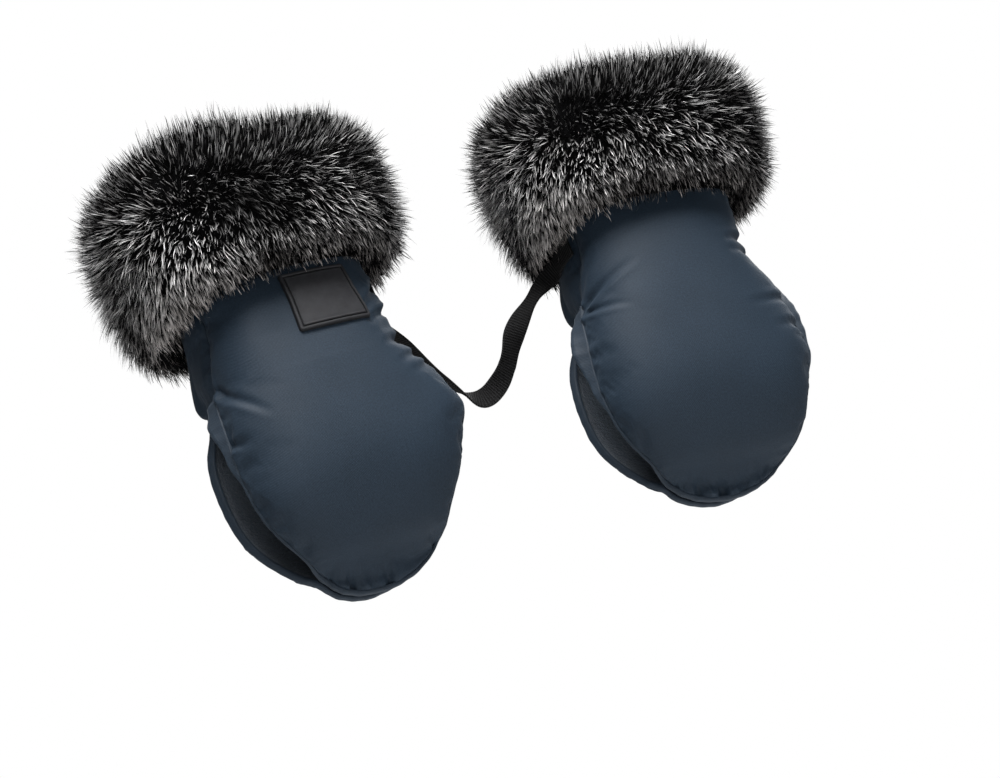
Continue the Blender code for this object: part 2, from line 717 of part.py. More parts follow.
def main():
    clear_scene()
    shell_cloth = material("shell_cloth", (0.035, 0.05, 0.068), 0.55)
    lining_fleece = material("lining_fleece", (0.018, 0.02, 0.024), 0.95)
    wadding = material("wadding", (0.75, 0.75, 0.73), 0.95)
    binding_tape = material("binding_tape", (0.03, 0.042, 0.058), 0.6)
    fur = material("fur", (0.03, 0.03, 0.032), 0.9)
    snap_metal = material("snap_metal", (0.09, 0.09, 0.095), 0.35, 0.9)
    rubber = material("rubber", (0.025, 0.026, 0.03), 0.5)
    webbing = material("webbing", (0.012, 0.012, 0.013), 0.75)
    finishes = {"lining": lining_fleece, "padding": wadding, "shell": shell_cloth}

    front, back, flap = front_panel(), back_panel(), flap_panel()
    pivot = hinge_line(flap)
    fixed = {**layers("front", front), **layers("back", back)}
    fixed["front_edge"] = front_binding(front)
    fixed["fur_cuff"] = fur_cuff()
    turning = layers("flap", flap)
    turning["flap_edge"] = binding("flap_edge", border(flap, 0), -1)
    for mesh in turning.values():
        moved(mesh, -pivot)
    stud, socket = snap_stud(), snap_socket()

    def finish_of(name):
        if name.endswith("edge"):
            return binding_tape
        return fur if name == "fur_cuff" else finishes[name.rsplit("_", 1)[1]]

    muffs = {}
    for side, sign in (("left", -1), ("right", 1)):
        muff = empty(f"{side}_muff", (0, 0, 0))
        muff.matrix_world = muff_place(sign)
        hinge = empty(f"{side}_flap_hinge", pivot, muff)
        muffs[side] = muff
        for name, mesh in fixed.items():
            place_piece(f"{side}_{name}", mesh, finish_of(name), muff)
        for name, mesh in turning.items():
            place_piece(f"{side}_{name}", mesh, finish_of(name), hinge)
        for number, place in enumerate(snap_places(), 1):
            place_piece(f"{side}_snap_stud_{number}", stud, snap_metal, muff, place)
            place_piece(f"{side}_snap_socket_{number}", socket, snap_metal, hinge, place - pivot)
    place_piece("left_patch", patch(), rubber, muffs["left"])
    place_piece("connecting_strap", strap(), webbing, None)
    bpy.context.view_layer.update()
    for side in muffs:
        hinge = bpy.data.objects[f"{side}_flap_hinge"].matrix_world
        print(side, "flap hinge at", tuple(round(v, 4) for v in hinge.translation),
              "along", tuple(round(v, 4) for v in hinge.col[0][:3]))


main()
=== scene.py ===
"""Looks of a pair of padded hand muffs for a stroller handlebar.

The shapes repeat the formulas of part.py on finer grids: padded panels with a fleece lining,
edge strips, faux-fur cuffs, a rubber patch, a webbing strap and press studs.
"""

import math

import bpy
import numpy as np
from mathutils import Matrix, Vector, kdtree


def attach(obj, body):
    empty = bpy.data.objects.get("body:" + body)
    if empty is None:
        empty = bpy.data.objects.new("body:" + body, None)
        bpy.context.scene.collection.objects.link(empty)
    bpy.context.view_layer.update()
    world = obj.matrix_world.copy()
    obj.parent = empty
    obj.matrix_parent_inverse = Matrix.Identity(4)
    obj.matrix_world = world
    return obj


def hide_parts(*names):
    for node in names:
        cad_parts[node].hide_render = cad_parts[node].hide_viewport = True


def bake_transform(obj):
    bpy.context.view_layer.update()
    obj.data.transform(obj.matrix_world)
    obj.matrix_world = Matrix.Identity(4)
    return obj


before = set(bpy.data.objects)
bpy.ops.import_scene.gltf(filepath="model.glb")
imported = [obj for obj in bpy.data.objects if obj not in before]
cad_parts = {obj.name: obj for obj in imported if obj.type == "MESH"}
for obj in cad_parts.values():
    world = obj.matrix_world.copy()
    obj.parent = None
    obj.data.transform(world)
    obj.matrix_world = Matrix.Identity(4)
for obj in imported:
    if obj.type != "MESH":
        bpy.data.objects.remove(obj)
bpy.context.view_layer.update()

# Camera, fitted to the photograph: turn, tilt, roll, distance and where it looks
CAMERA_TURN = math.radians(-22.83666)
CAMERA_TILT = math.radians(-19.10057)
CAMERA_ROLL = math.radians(-20.27798)
CAMERA_DISTANCE = 1.399978
CAMERA_CENTRE = Vector((0, 0, 0.04705))
FOCAL_PIXELS = 2108.457
PRINCIPAL_POINT = (492.4212, 343.2392)
PICTURE = (1000, 778)
SENSOR = 36.0

# The muffs' sizes, as in part.py, in metres
MUFF_SPACING = 0.256
SPLAY_ANGLE = math.radians(4.2)
TOE_IN_ANGLE = math.radians(4.0)
BAR_DIAMETER, BAR_CLEARANCE = 0.040, 0.0015
PIECE_GAP, EDGE_GAP = 0.0003, 0.0004
MOUTH_HEIGHT, FUR_EDGE_HEIGHT, NECK_END_HEIGHT = 0.192, 0.107, 0.084
SLIT_HEIGHT, PALM_HEIGHT, HEM_DEPTH, HEM_LIP, HEM_LEAN = 0.049, -0.004, 0.097, 0.012, 0.003
MOUTH_HALF_WIDTH, NECK_HALF_WIDTH, PALM_HALF_WIDTH = 0.061, 0.056, 0.072
NECK_FRONT_DEPTH, PALM_FRONT_DEPTH = 0.042, 0.0425
CUFF_BACK_DEPTH, NECK_BACK_DEPTH, PALM_BACK_DEPTH = 0.044, 0.032, 0.034
FLAP_EXTRA_WIDTH = 0.002
LINING_CLOTH, BINDING_CLOTH = 0.0012, 0.0010
EDGE_THICKNESS, CROWN_THICKNESS = 0.006, 0.012
FUR_OUTER, FUR_INNER, FUR_TOP_RISE = 0.039, 0.009, 0.018
FUR_FRONT_HANG, FUR_BACK_HANG, FUR_TILT = -0.003, 0.009, 0.007
SNAP_BASE, SNAP_SOCKET = 0.0008, 0.0024
PATCH_WIDTH, PATCH_HEIGHT, PATCH_THICKNESS = 0.046, 0.0425, 0.0020
PATCH_OFFSET, PATCH_TURN, PATCH_TOP_BELOW_FUR = 0.012, math.radians(-1.0), 0.0035
STRAP_WIDTH, STRAP_THICKNESS = 0.015, 0.0014
STRAP_END_BELOW_FUR, STRAP_LOWEST, STRAP_BEHIND_BAR = 0.012, 0.028, 0.050
SQUARENESS_SHARE, SEAM_ANGLE = 0.05, math.radians(70.0)
FLARE_POWER, OUTLINE_POWER, BOWL_POWER = 1.8, 2.1, 2.3
HEM_CORNER_ANGLE = math.radians(60.0)
CUFF_ROW_SHARES = (1.0, 0.67, 0.33)
NECK_ROW_SHARES = (1.0, 0.66, 0.32, 0.0)
UPPER_PUFF_SHARES = (0.0, 0.0, 0.0, 0.0, 0.62, 0.92, 1.0)
MIDDLE_ROW_SHARES, MIDDLE_PUFF_SHARES = (0.5, 1.0), (1.0, 1.0)
LOWER_ROW_SHARES, LOWER_PUFF_SHARES = (0.32, 0.60, 0.82, 1.0), (1.0, 0.95, 0.7, 0.12)
LOWER_EDGE_SHARES = (0.30, 0.56, 0.74, 0.87)
LOWER_LEVEL_SHARES = (0.1, 0.3, 0.55, 0.85, 1.0)
FRONT_COLUMNS, BACK_COLUMNS = 10, 14
STRAP_SEAT_SHARES = ((0.05, 0.0, 0.75), (0.45, 0.15, 2.0), (0.85, 0.6, 5.0))
STRAP_HANG_SHARES = ((0.70, 0.45, 0.30), (0.38, 0.82, 0.72), (0.0, 1.0, 1.0))

CHANNEL_HALF = BAR_DIAMETER / 2 + BAR_CLEARANCE
HEM_HALF_GAP = (SNAP_BASE + SNAP_SOCKET + 3 * PIECE_GAP) / 2
TIP_DROP = PALM_HEIGHT + HEM_DEPTH
PATCH_MIDDLE = FUR_EDGE_HEIGHT - PATCH_TOP_BELOW_FUR - PATCH_HEIGHT / 2
SIDES = (("left", -1), ("right", 1))
HEM_SWAYS = {-1: 0.0035, 1: -0.0010}
# The flap's right half hangs shorter: by how much, and where across and down that sets in
FLAP_SHORTER = 0.0030
SHORTER_FROM, SHORTER_RUN = (-0.012, -0.030), (0.030, 0.045)
# Where the muffs' sides stand in or out of the plain shape: height, reach and amount, in metres
RIGHT_SIDES = {-1: ((0.056, 0.021, -0.0078), (-0.003, 0.017, 0.0095), (-0.061, 0.019, -0.0060)),
               1: ((0.067, 0.015, -0.0070), (-0.012, 0.018, 0.0034))}
BEHIND_SLITS = {-1: (0.040, 0.013, 0.0045), 1: (0.043, 0.017, 0.0055)}
LEFT_HEMS = {-1: (-0.072, 0.024, 0.0065), 1: (-0.070, 0.020, 0.0055)}
# How far from the middle that sets in, low down and from height 0 up, and behind which depth
SIDE_STARTS, SIDE_LOW, SIDE_RUN = (0.020, 0.030), 0.030, 0.028
BEHIND_START, BEHIND_RUN = -0.022, 0.014
UP = np.array((0.0, 0.0, 1.0))
SHARP_ANGLE = math.radians(50.0)


# Camera


def aim_camera():
    """The photograph's camera, turned a little so that its axis meets the picture's middle."""
    a, e, r = CAMERA_TURN, CAMERA_TILT, CAMERA_ROLL
    back = Vector((math.sin(a) * math.cos(e), -math.cos(a) * math.cos(e), math.sin(e)))
    level = Vector((math.cos(a), math.sin(a), 0))
    upright = back.cross(level)
    right = level * math.cos(r) + upright * math.sin(r)
    upward = upright * math.cos(r) - level * math.sin(r)
    off_x = (PICTURE[0] / 2 - PRINCIPAL_POINT[0]) / FOCAL_PIXELS
    off_y = (PICTURE[1] / 2 - PRINCIPAL_POINT[1]) / FOCAL_PIXELS
    place = CAMERA_CENTRE + back * CAMERA_DISTANCE
    back = -(-back + right * off_x - upward * off_y).normalized()
    right = (right - back * right.dot(back)).normalized()
    upward = back.cross(right)
    camera = bpy.data.objects.new("camera", bpy.data.cameras.new("camera"))
    camera.data.sensor_width = SENSOR
    camera.data.lens = SENSOR * FOCAL_PIXELS / PICTURE[0]
    camera.data.clip_start, camera.data.clip_end = 0.05, 100.0
    camera.matrix_world = Matrix((right, upward, back)).transposed().to_4x4()
    camera.matrix_world.translation = place
    bpy.context.scene.collection.objects.link(camera)
    bpy.context.scene.camera = camera
    return right, upward, back


camera_right, camera_up, camera_back = aim_camera()


# Number helpers


def unit(v):
    return v / np.maximum(np.linalg.norm(v, axis=-1, keepdims=True), 1e-12)


def ease(value):
    value = np.clip(value, 0.0, 1.0)
    return value * value * (3 - 2 * value)


def mix(a, b, share):
    return a + (b - a) * share


def bell(value, middle, reach):
    return np.exp(-(((value - middle) / reach) ** 2))


def distances(points):
    """How far along a line its points lie, or down a grid its rows on average."""
    steps = np.linalg.norm(np.diff(points, axis=0), axis=-1).reshape(len(points) - 1, -1)
    return np.concatenate(((0,), np.cumsum(steps.mean(axis=1))))


def ripple(x, y, seed):
    """Smooth noise from about -1 to 1 at points of a plane."""
    x, y = np.broadcast_arrays(np.asarray(x, float), np.asarray(y, float))
    column, row = np.floor(x).astype(np.int64), np.floor(y).astype(np.int64)
    fx, fy = x - column, y - row

    def corner(i, j):
        number = (column + i) * 374761393 + (row + j) * 668265263 + seed * 974711
        number = ((number ^ (number >> 13)) * 1274126177) & 0xFFFFFFFF
        turn = ((number ^ (number >> 16)) & 0xFFFF) * (2 * math.pi / 65536)
        return np.cos(turn) * (fx - i) + np.sin(turn) * (fy - j)

    u, v = fx * fx * (3 - 2 * fx), fy * fy * (3 - 2 * fy)
    low = mix(corner(0, 0), corner(1, 0), u)
    return 1.6 * mix(low, mix(corner(0, 1), corner(1, 1), u), v)


def spline_weights(knots, places):
    """Matrix that turns values at the knots into those of a natural cubic spline at the places."""
    knots, places = np.asarray(knots, float), np.asarray(places, float)
    n = len(knots)
    h = np.diff(knots)
    bend, slope = np.eye(n), np.zeros((n, n))
    for i in range(1, n - 1):
        bend[i, i - 1 : i + 2] = h[i - 1], 2 * (h[i - 1] + h[i]), h[i]
        slope[i, i - 1 : i + 2] = 6 / h[i - 1], -6 / h[i - 1] - 6 / h[i], 6 / h[i]
    second = np.linalg.solve(bend, slope)
    k = np.clip(np.searchsorted(knots, places, side="right") - 1, 0, n - 2)
    a = (knots[k + 1] - places) / h[k]
    b = 1 - a
    eye = np.eye(n)
    curve = ((a**3 - a) * h[k] ** 2 / 6)[:, None] * second[k]
    curve += ((b**3 - b) * h[k] ** 2 / 6)[:, None] * second[k + 1]
    return a[:, None] * eye[k] + b[:, None] * eye[k + 1] + curve


# The muff's own surfaces, as in part.py


def muff_place(side):
    toe_in = Matrix.Rotation(-side * TOE_IN_ANGLE, 4, "Z")
    turn = toe_in @ Matrix.Rotation(side * SPLAY_ANGLE, 4, "Y")
    return np.array(Matrix.Translation((side * MUFF_SPACING / 2, 0, 0)) @ turn)


def side_shift(points, side):
    """How far each muff's sides stand in or out of the plain shape, along its width."""
    x, y, z = np.moveaxis(points, -1, 0)

    def bumps(*rows):
        return sum(amount * bell(z, middle, reach) for middle, reach, amount in rows)

    start = mix(*SIDE_STARTS, ease((z + SIDE_LOW) / SIDE_LOW))
    right = bumps(*RIGHT_SIDES[side])
    behind = ease((y - BEHIND_START) / BEHIND_RUN)
    left = bumps(BEHIND_SLITS[side]) * behind + bumps(LEFT_HEMS[side])
    return right * ease((x - start) / SIDE_RUN) + left * ease((-x - start) / SIDE_RUN)


def placed(points, side):
    """From the muff's own frame to the object's, with each hem hanging a little its own way."""
    place = muff_place(side)
    points = points + side_shift(points, side)[..., None] * (1, 0, 0)
    x, y, z = np.moveaxis(points, -1, 0)
    low = np.clip((PALM_HEIGHT - z) / TIP_DROP, 0, 1) ** 2
    short = FLAP_SHORTER * np.clip(y / HEM_HALF_GAP, 0, 1)
    short = short * ease((x - SHORTER_FROM[0]) / SHORTER_RUN[0])
    short = short * ease((SHORTER_FROM[1] - z) / SHORTER_RUN[1])
    points = points - low[..., None] * (HEM_SWAYS[side], 0, 0) + short[..., None] * UP
    return points @ place[:3, :3].T + place[:3, 3]


def half_width(z):
    neck = mix(NECK_HALF_WIDTH, MOUTH_HALF_WIDTH,
               ease((z - FUR_EDGE_HEIGHT) / (MOUTH_HEIGHT - FUR_EDGE_HEIGHT)))
    fall = np.clip((NECK_END_HEIGHT - z) / (NECK_END_HEIGHT - PALM_HEIGHT), 0, 1)
    return mix(neck, PALM_HALF_WIDTH, 1 - (1 - fall) ** FLARE_POWER)


def front_depth(z):
    fall = ease((FUR_EDGE_HEIGHT - z) / (FUR_EDGE_HEIGHT - PALM_HEIGHT))
    return mix(NECK_FRONT_DEPTH, PALM_FRONT_DEPTH, fall)


def back_depth(z):
    neck = ease((FUR_EDGE_HEIGHT - z) / (FUR_EDGE_HEIGHT - SLIT_HEIGHT))
    palm = ease((SLIT_HEIGHT - z) / (SLIT_HEIGHT - PALM_HEIGHT))
    return mix(mix(CUFF_BACK_DEPTH, NECK_BACK_DEPTH, neck), PALM_BACK_DEPTH, palm)


def across(angle):
    return (np.sin(angle) + SQUARENESS_SHARE * np.sin(3 * angle)) / (1 - SQUARENESS_SHARE)


def along(angle):
    return (np.cos(angle) - SQUARENESS_SHARE * np.cos(3 * angle)) / (1 - SQUARENESS_SHARE)


def tube_point(angle, z):
    angle, z = np.broadcast_arrays(np.asarray(angle, float), np.asarray(z, float))
    forward = along(angle)
    reach = np.where(forward > 0, front_depth(z), back_depth(z))
    return np.stack((half_width(z) * across(angle), -reach * forward, z), axis=-1)


def tube_normal(angle, z, level=False):
    turn = math.radians(0.5)
    around = tube_point(angle + turn, z) - tube_point(angle - turn, z)
    rise = UP if level else tube_point(angle, z + PIECE_GAP) - tube_point(angle, z - PIECE_GAP)
    return unit(np.cross(around, rise))


UPPER_HEIGHTS = [mix(FUR_EDGE_HEIGHT, MOUTH_HEIGHT, share) for share in CUFF_ROW_SHARES]
UPPER_HEIGHTS += [mix(SLIT_HEIGHT, FUR_EDGE_HEIGHT, share) for share in NECK_ROW_SHARES]


def puff(u, row_share):
    return mix(EDGE_THICKNESS, CROWN_THICKNESS, (1 - np.abs(u) ** 3) * row_share)


def puff_at(u, z):
    """Thickness of the upper panels at any height."""
    return puff(u, np.interp(z, UPPER_HEIGHTS[::-1], UPPER_PUFF_SHARES[::-1]))


def back_share(angle):
    """Where an angle lies across the back panel, from -1 to 1."""
    return 2 * (angle - SEAM_ANGLE) / (2 * math.pi - 2 * SEAM_ANGLE) - 1


def tube_rows(first, last, columns):
    points, normals, thickness = [], [], []
    for i, (z, row_share) in enumerate(zip(UPPER_HEIGHTS, UPPER_PUFF_SHARES)):
        gap = PIECE_GAP / 2 / half_width(z)
        angles = np.linspace(first + gap, last - gap, columns + 1)
        points.append(tube_point(angles, z))
        normals.append(tube_normal(angles, z, i in (0, len(UPPER_HEIGHTS) - 1)))
        thickness.append(puff(np.linspace(-1, 1, columns + 1), row_share))
    return np.array(points), np.array(normals), np.array(thickness)


def outline(angle, wide):
    power = 2 / OUTLINE_POWER
    return wide * np.cos(angle) ** power, PALM_HEIGHT - TIP_DROP * np.sin(angle) ** power


def outline_drop(u, wide):
    corner_x, corner_z = outline(HEM_CORNER_ANGLE, wide)
    cosine = np.clip(np.abs(u) * corner_x / wide, 0, 1) ** (OUTLINE_POWER / 2)
    return (corner_z - outline(np.arccos(cosine), wide)[1]) / (corner_z - PALM_HEIGHT + TIP_DROP)


def lean(z, most=HEM_LEAN):
    return most * np.clip((PALM_HEIGHT - z) / TIP_DROP, 0, 1) ** 2


def tongue_rows(depth_at, extra, start):
    seam_x, seam_y = across(SEAM_ANGLE), along(SEAM_ANGLE)
    wide = (PALM_HALF_WIDTH + extra) * seam_x
    lip_share = 1 - HEM_LIP / TIP_DROP
    rows = []
    if start:
        rows.append((SLIT_HEIGHT, SLIT_HEIGHT, half_width(SLIT_HEIGHT) * seam_x,
                     depth_at(SLIT_HEIGHT) * seam_y, depth_at(SLIT_HEIGHT)))
    for share in MIDDLE_ROW_SHARES:
        z = mix(SLIT_HEIGHT, PALM_HEIGHT, share)
        reach = depth_at(z)
        rows.append((z, z, (half_width(z) + extra * share) * seam_x,
                     mix(reach * seam_y, CHANNEL_HALF, ease(2 * share)), reach))
    for share, edge_share in zip(LOWER_ROW_SHARES, LOWER_EDGE_SHARES):
        edge, edge_z = outline(edge_share * HEM_CORNER_ANGLE, wide)
        full = 1 - share**BOWL_POWER
        rows.append((edge_z, PALM_HEIGHT - share * lip_share * TIP_DROP, edge,
                     mix(HEM_HALF_GAP, CHANNEL_HALF, full),
                     mix(HEM_HALF_GAP, depth_at(PALM_HEIGHT), full)))
    corner_x, corner_z = outline(HEM_CORNER_ANGLE, wide)
    rows.append((corner_z, PALM_HEIGHT - TIP_DROP, corner_x, HEM_HALF_GAP, HEM_HALF_GAP))
    angle = np.linspace(-1, 1, FRONT_COLUMNS + 1) * SEAM_ANGLE
    crown = (along(angle) - seam_y) / (1 - seam_y)
    drop = outline_drop(across(angle) / seam_x, wide)
    grid = np.array([
        np.stack((edge * across(angle) / seam_x, -mix(edge_y, middle_y, crown),
                  mix(edge_z, middle_z, drop)), axis=-1)
        for edge_z, middle_z, edge, edge_y, middle_y in rows
    ])
    grid[..., 0] -= lean(grid[..., 2])
    return grid


def tongue_thickness(start):
    shares = [UPPER_PUFF_SHARES[-1]] if start else []
    shares += list(MIDDLE_PUFF_SHARES) + list(LOWER_PUFF_SHARES) + [0.0]
    return np.array([puff(np.linspace(-1, 1, FRONT_COLUMNS + 1), share) for share in shares])


def grid_normals(grid, outward):
    face = np.cross(grid[1:, 1:] - grid[:-1, :-1], grid[1:, :-1] - grid[:-1, 1:])
    face *= np.sign(face @ outward)[..., None]
    normals = np.zeros_like(grid)
    for rows, columns in ((slice(1, None), slice(1, None)), (slice(1, None), slice(None, -1)),
                          (slice(None, -1), slice(1, None)), (slice(None, -1), slice(None, -1))):
        normals[rows, columns] += face
    normals = unit(normals)
    count = len(LOWER_LEVEL_SHARES)
    for r, share in zip(range(len(grid) - count, len(grid)), LOWER_LEVEL_SHARES):
        normals[r] = mix(normals[r], outward, share)
    return unit(normals)


def front_panel():
    points, normals, thickness = tube_rows(-SEAM_ANGLE, SEAM_ANGLE, FRONT_COLUMNS)
    whole = np.concatenate((points, tongue_rows(front_depth, 0.0, False)))
    below = grid_normals(whole, np.array((0.0, -1.0, 0.0)))[len(points):]
    thickness = np.concatenate((thickness, tongue_thickness(False)))
    return whole, np.concatenate((normals, below)), thickness


def back_panel():
    return tube_rows(SEAM_ANGLE, 2 * math.pi - SEAM_ANGLE, BACK_COLUMNS)


def flap_panel():
    grid = tongue_rows(back_depth, FLAP_EXTRA_WIDTH, True)
    grid[0, :, 2] -= PIECE_GAP
    grid[..., 1] *= -1
    normals = grid_normals(grid, np.array((0.0, 1.0, 0.0)))
    normals[0, :, 2] = 0.0
    normals[0] = unit(normals[0])
    return grid, normals, tongue_thickness(True)


# Meshes


def build_mesh(name, points, faces, uv=None, tint=None):
    """Mesh object from points, lists of faces of equal corner count, and values at its points."""
    mesh = bpy.data.meshes.new(name)
    mesh.vertices.add(len(points))
    mesh.vertices.foreach_set("co", np.asarray(points, np.float32).ravel())
    corners = np.concatenate([f.ravel() for f in faces]).astype(np.int32)
    counts = np.concatenate([np.full(len(f), f.shape[1]) for f in faces])
    mesh.loops.add(len(corners))
    mesh.loops.foreach_set("vertex_index", corners)
    mesh.polygons.add(len(counts))
    mesh.polygons.foreach_set("loop_start", (np.cumsum(counts) - counts).astype(np.int32))
    mesh.update(calc_edges=True)
    mesh.validate()
    if uv is not None:
        layer = mesh.uv_layers.new(name="metres")
        layer.data.foreach_set("uv", np.asarray(uv, np.float32)[corners].ravel())
    if tint is not None:
        colours = mesh.color_attributes.new("tint", "FLOAT_COLOR", "POINT")
        colours.data.foreach_set("color", np.asarray(tint, np.float32).ravel())
    mesh.shade_smooth()
    made = bpy.data.objects.new(name, mesh)
    bpy.context.scene.collection.objects.link(made)
    return made


def grid_faces(rows, columns, start=0, flip=False):
    r, c = np.meshgrid(np.arange(rows - 1), np.arange(columns - 1), indexing="ij")
    first = start + r * columns + c
    quads = np.stack((first, first + columns, first + columns + 1, first + 1), axis=-1)
    return quads.reshape(-1, 4)[:, ::-1] if flip else quads.reshape(-1, 4)


def ring_quads(count, around, closed=False):
    """Quads between rings of points, and from the last ring to the first where they close."""
    ids = np.arange(count * around).reshape(count, around)
    above = np.roll(ids, -1, axis=0)
    quads = np.stack((ids, np.roll(ids, -1, axis=1), np.roll(above, -1, axis=1), above), axis=-1)
    return (quads if closed else quads[:-1]).reshape(-1, 4)


def tube_faces(count, around, flip):
    """Quads between rings of points, and a face at each end."""
    quads = ring_quads(count, around)
    ends = np.stack((np.arange(around)[::-1], np.arange(around) + (count - 1) * around))
    return (quads[:, ::-1], ends[:, ::-1]) if flip else (quads, ends)


def slab(name, outer, inner, uv, flip):
    """Closed sheet between two grids of the same size."""
    rows, columns = outer.shape[:2]
    count = rows * columns
    ring = [(0, c) for c in range(columns - 1)] + [(r, columns - 1) for r in range(rows - 1)]
    ring += [(rows - 1, c) for c in range(columns - 1, 0, -1)]
    ring += [(r, 0) for r in range(rows - 1, 0, -1)]
    ids = np.array([r * columns + c for r, c in ring])
    following = np.roll(ids, -1)
    walls = np.stack((ids, following, following + count, ids + count), axis=-1)
    faces = np.concatenate((grid_faces(rows, columns, 0, flip),
                            grid_faces(rows, columns, count, not flip),
                            walls[:, ::-1] if flip else walls))
    points = np.concatenate((outer.reshape(-1, 3), inner.reshape(-1, 3)))
    made = build_mesh(name, points, [faces], np.concatenate((uv.reshape(-1, 2),) * 2))
    made.data.set_sharp_from_angle(angle=SHARP_ANGLE)
    return made


FINE = 0.0015


class Panel:
    """A panel's inner surface, normals and thickness on a fine grid, with distances in metres."""

    def __init__(self, coarse, height, width, flip=False):
        points, normals, thickness = coarse
        rows, columns = self.shape = int(height / FINE), int(width / FINE)
        self.flip = flip
        knots = distances(points)
        self.down = spline_weights(knots, np.linspace(0, knots[-1], rows))
        self.round = spline_weights(np.linspace(0, 1, points.shape[1]), np.linspace(0, 1, columns))
        self.points = self.fine(points)
        self.normals = unit(self.fine(normals))
        self.thickness = self.fine(thickness[..., None])[..., 0]
        side_steps = np.linalg.norm(np.diff(self.points, axis=1), axis=2)
        self.from_left = np.pad(np.cumsum(side_steps, axis=1), ((0, 0), (1, 0)))
        self.from_right = self.from_left[:, -1:] - self.from_left
        self.arc = (self.from_left - self.from_right) / 2
        down_steps = np.linalg.norm(np.diff(self.points, axis=0), axis=2)
        self.from_top = np.pad(np.cumsum(down_steps, axis=0), ((1, 0), (0, 0)))
        self.from_hem = self.from_top[-1:] - self.from_top
        self.z = self.points[..., 2]
        self.uv = np.stack((self.arc, self.from_top), axis=-1)

    def fine(self, values):
        return np.einsum("ra,cb,abk->rck", self.down, self.round, values)


front = Panel(front_panel(), 0.30, 0.19)
back = Panel(back_panel(), 0.145, 0.27)
flap = Panel(flap_panel(), 0.15, 0.19, flip=True)


# Padded panels: relief of the seams, a cloth simulation, creases and puckers

BODIES = {"front": "{}_muff", "back": "{}_muff", "flap": "{}_flap"}
# Edges, each with the share of the thickness that is left there and its radius
SEWN, FREE, PLAIN, SLIT_ROLL = (0.40, 0.0100), (0.84, 0.0050), (1.0, 0.0050), (0.30, 0.0200)
SEAM_BLEND, MIDDLE_START = 0.008, 0.030
SLIT_THIN, SLIT_THIN_REACH = 0.34, 0.055
HELD_ABOVE, HELD_ROUND_PATCH = 0.006, (0.004, 0.003)
SWELL_PRESSURE, SWELL_EXCESS, SWELL_CAP, SWELL_STEPS = 4.0, -0.012, 0.0050, 20
SWELL_NOISE, SWELL_NOISE_PITCH, BROAD_SMOOTHING = 0.0003, 0.016, 24
FOLD_REACH, FOLD_REST, FOLD_FROM_LEFT, FOLD_FROM_HEM = 0.020, 0.12, 1.7, 1.3
PUCKER_LENGTH, PUCKER_REACH, PUCKER_HEIGHT = 0.0085, 0.012, 0.0012
PUCKER_RUN, FINE_PUCKER_RUN, FINE_PUCKERS, FINE_PUCKER_SHARE = 0.05, 0.03, 2.1, 0.5
PUCKER_EDGE, PUCKER_EDGE_SHARE = 0.0015, 0.35
GATHER_REST, GATHER_GAIN = 0.32, 3.6
RIM_SHARE, RIM_PLACE, RIM_ENDS = 0.45, 1.9, 3
HEM_ROLL, HEM_ROLL_PLACE, HEM_ROLL_REACH = 0.0035, 0.013, 0.009
WAVE_HEIGHT, WAVE_LENGTH = 0.0003, 0.035
LEAST_PAD = 0.0008
NAP_HEIGHT, NAP_PITCH, LINING_FACE = 0.00025, 0.004, 0.0002


def shoulder(distance, edge):
    low, radius = edge
    inward = 1 - np.clip(distance / radius, 0, 1)
    return low + (1 - low) * np.sqrt(1 - inward**2)


def edge_between(first, second, share):
    return mix(first[0], second[0], share), mix(first[1], second[1], share)


def swell(name, points, pinned):
    """How far cloth with a little to spare moves when air swells it and its seams hold."""
    rows, columns = points.shape[:2]
    sheet = build_mesh(name, points.reshape(-1, 3), [grid_faces(rows, columns)])
    group = sheet.vertex_groups.new(name="held")
    group.add(np.flatnonzero(pinned.ravel()).tolist(), 1.0, "REPLACE")
    cloth = sheet.modifiers.new("cloth", "CLOTH")
    settings = cloth.settings
    settings.quality = 6
    settings.mass = 0.3
    settings.tension_stiffness = settings.compression_stiffness = 15
    settings.shear_stiffness = 8
    settings.bending_stiffness = 1.5
    settings.air_damping = 2.0
    settings.vertex_group_mass = "held"
    settings.shrink_min = SWELL_EXCESS
    settings.use_pressure = True
    settings.uniform_pressure_force = SWELL_PRESSURE
    settings.effector_weights.gravity = 0.0
    cloth.collision_settings.use_collision = False
    cloth.point_cache.frame_start, cloth.point_cache.frame_end = 1, SWELL_STEPS
    for step in range(1, SWELL_STEPS + 1):
        bpy.context.scene.frame_set(step)
    seen = sheet.evaluated_get(bpy.context.evaluated_depsgraph_get())
    after = np.empty(rows * columns * 3, np.float32)
    seen.data.vertices.foreach_get("co", after)
    mesh = sheet.data
    bpy.data.objects.remove(sheet, do_unlink=True)
    bpy.data.meshes.remove(mesh)
    bpy.context.scene.frame_set(1)
    shift = after.reshape(rows, columns, 3) - points
    size = np.linalg.norm(shift, axis=2, keepdims=True)
    return shift * np.minimum(1, SWELL_CAP / np.maximum(size, 1e-9))


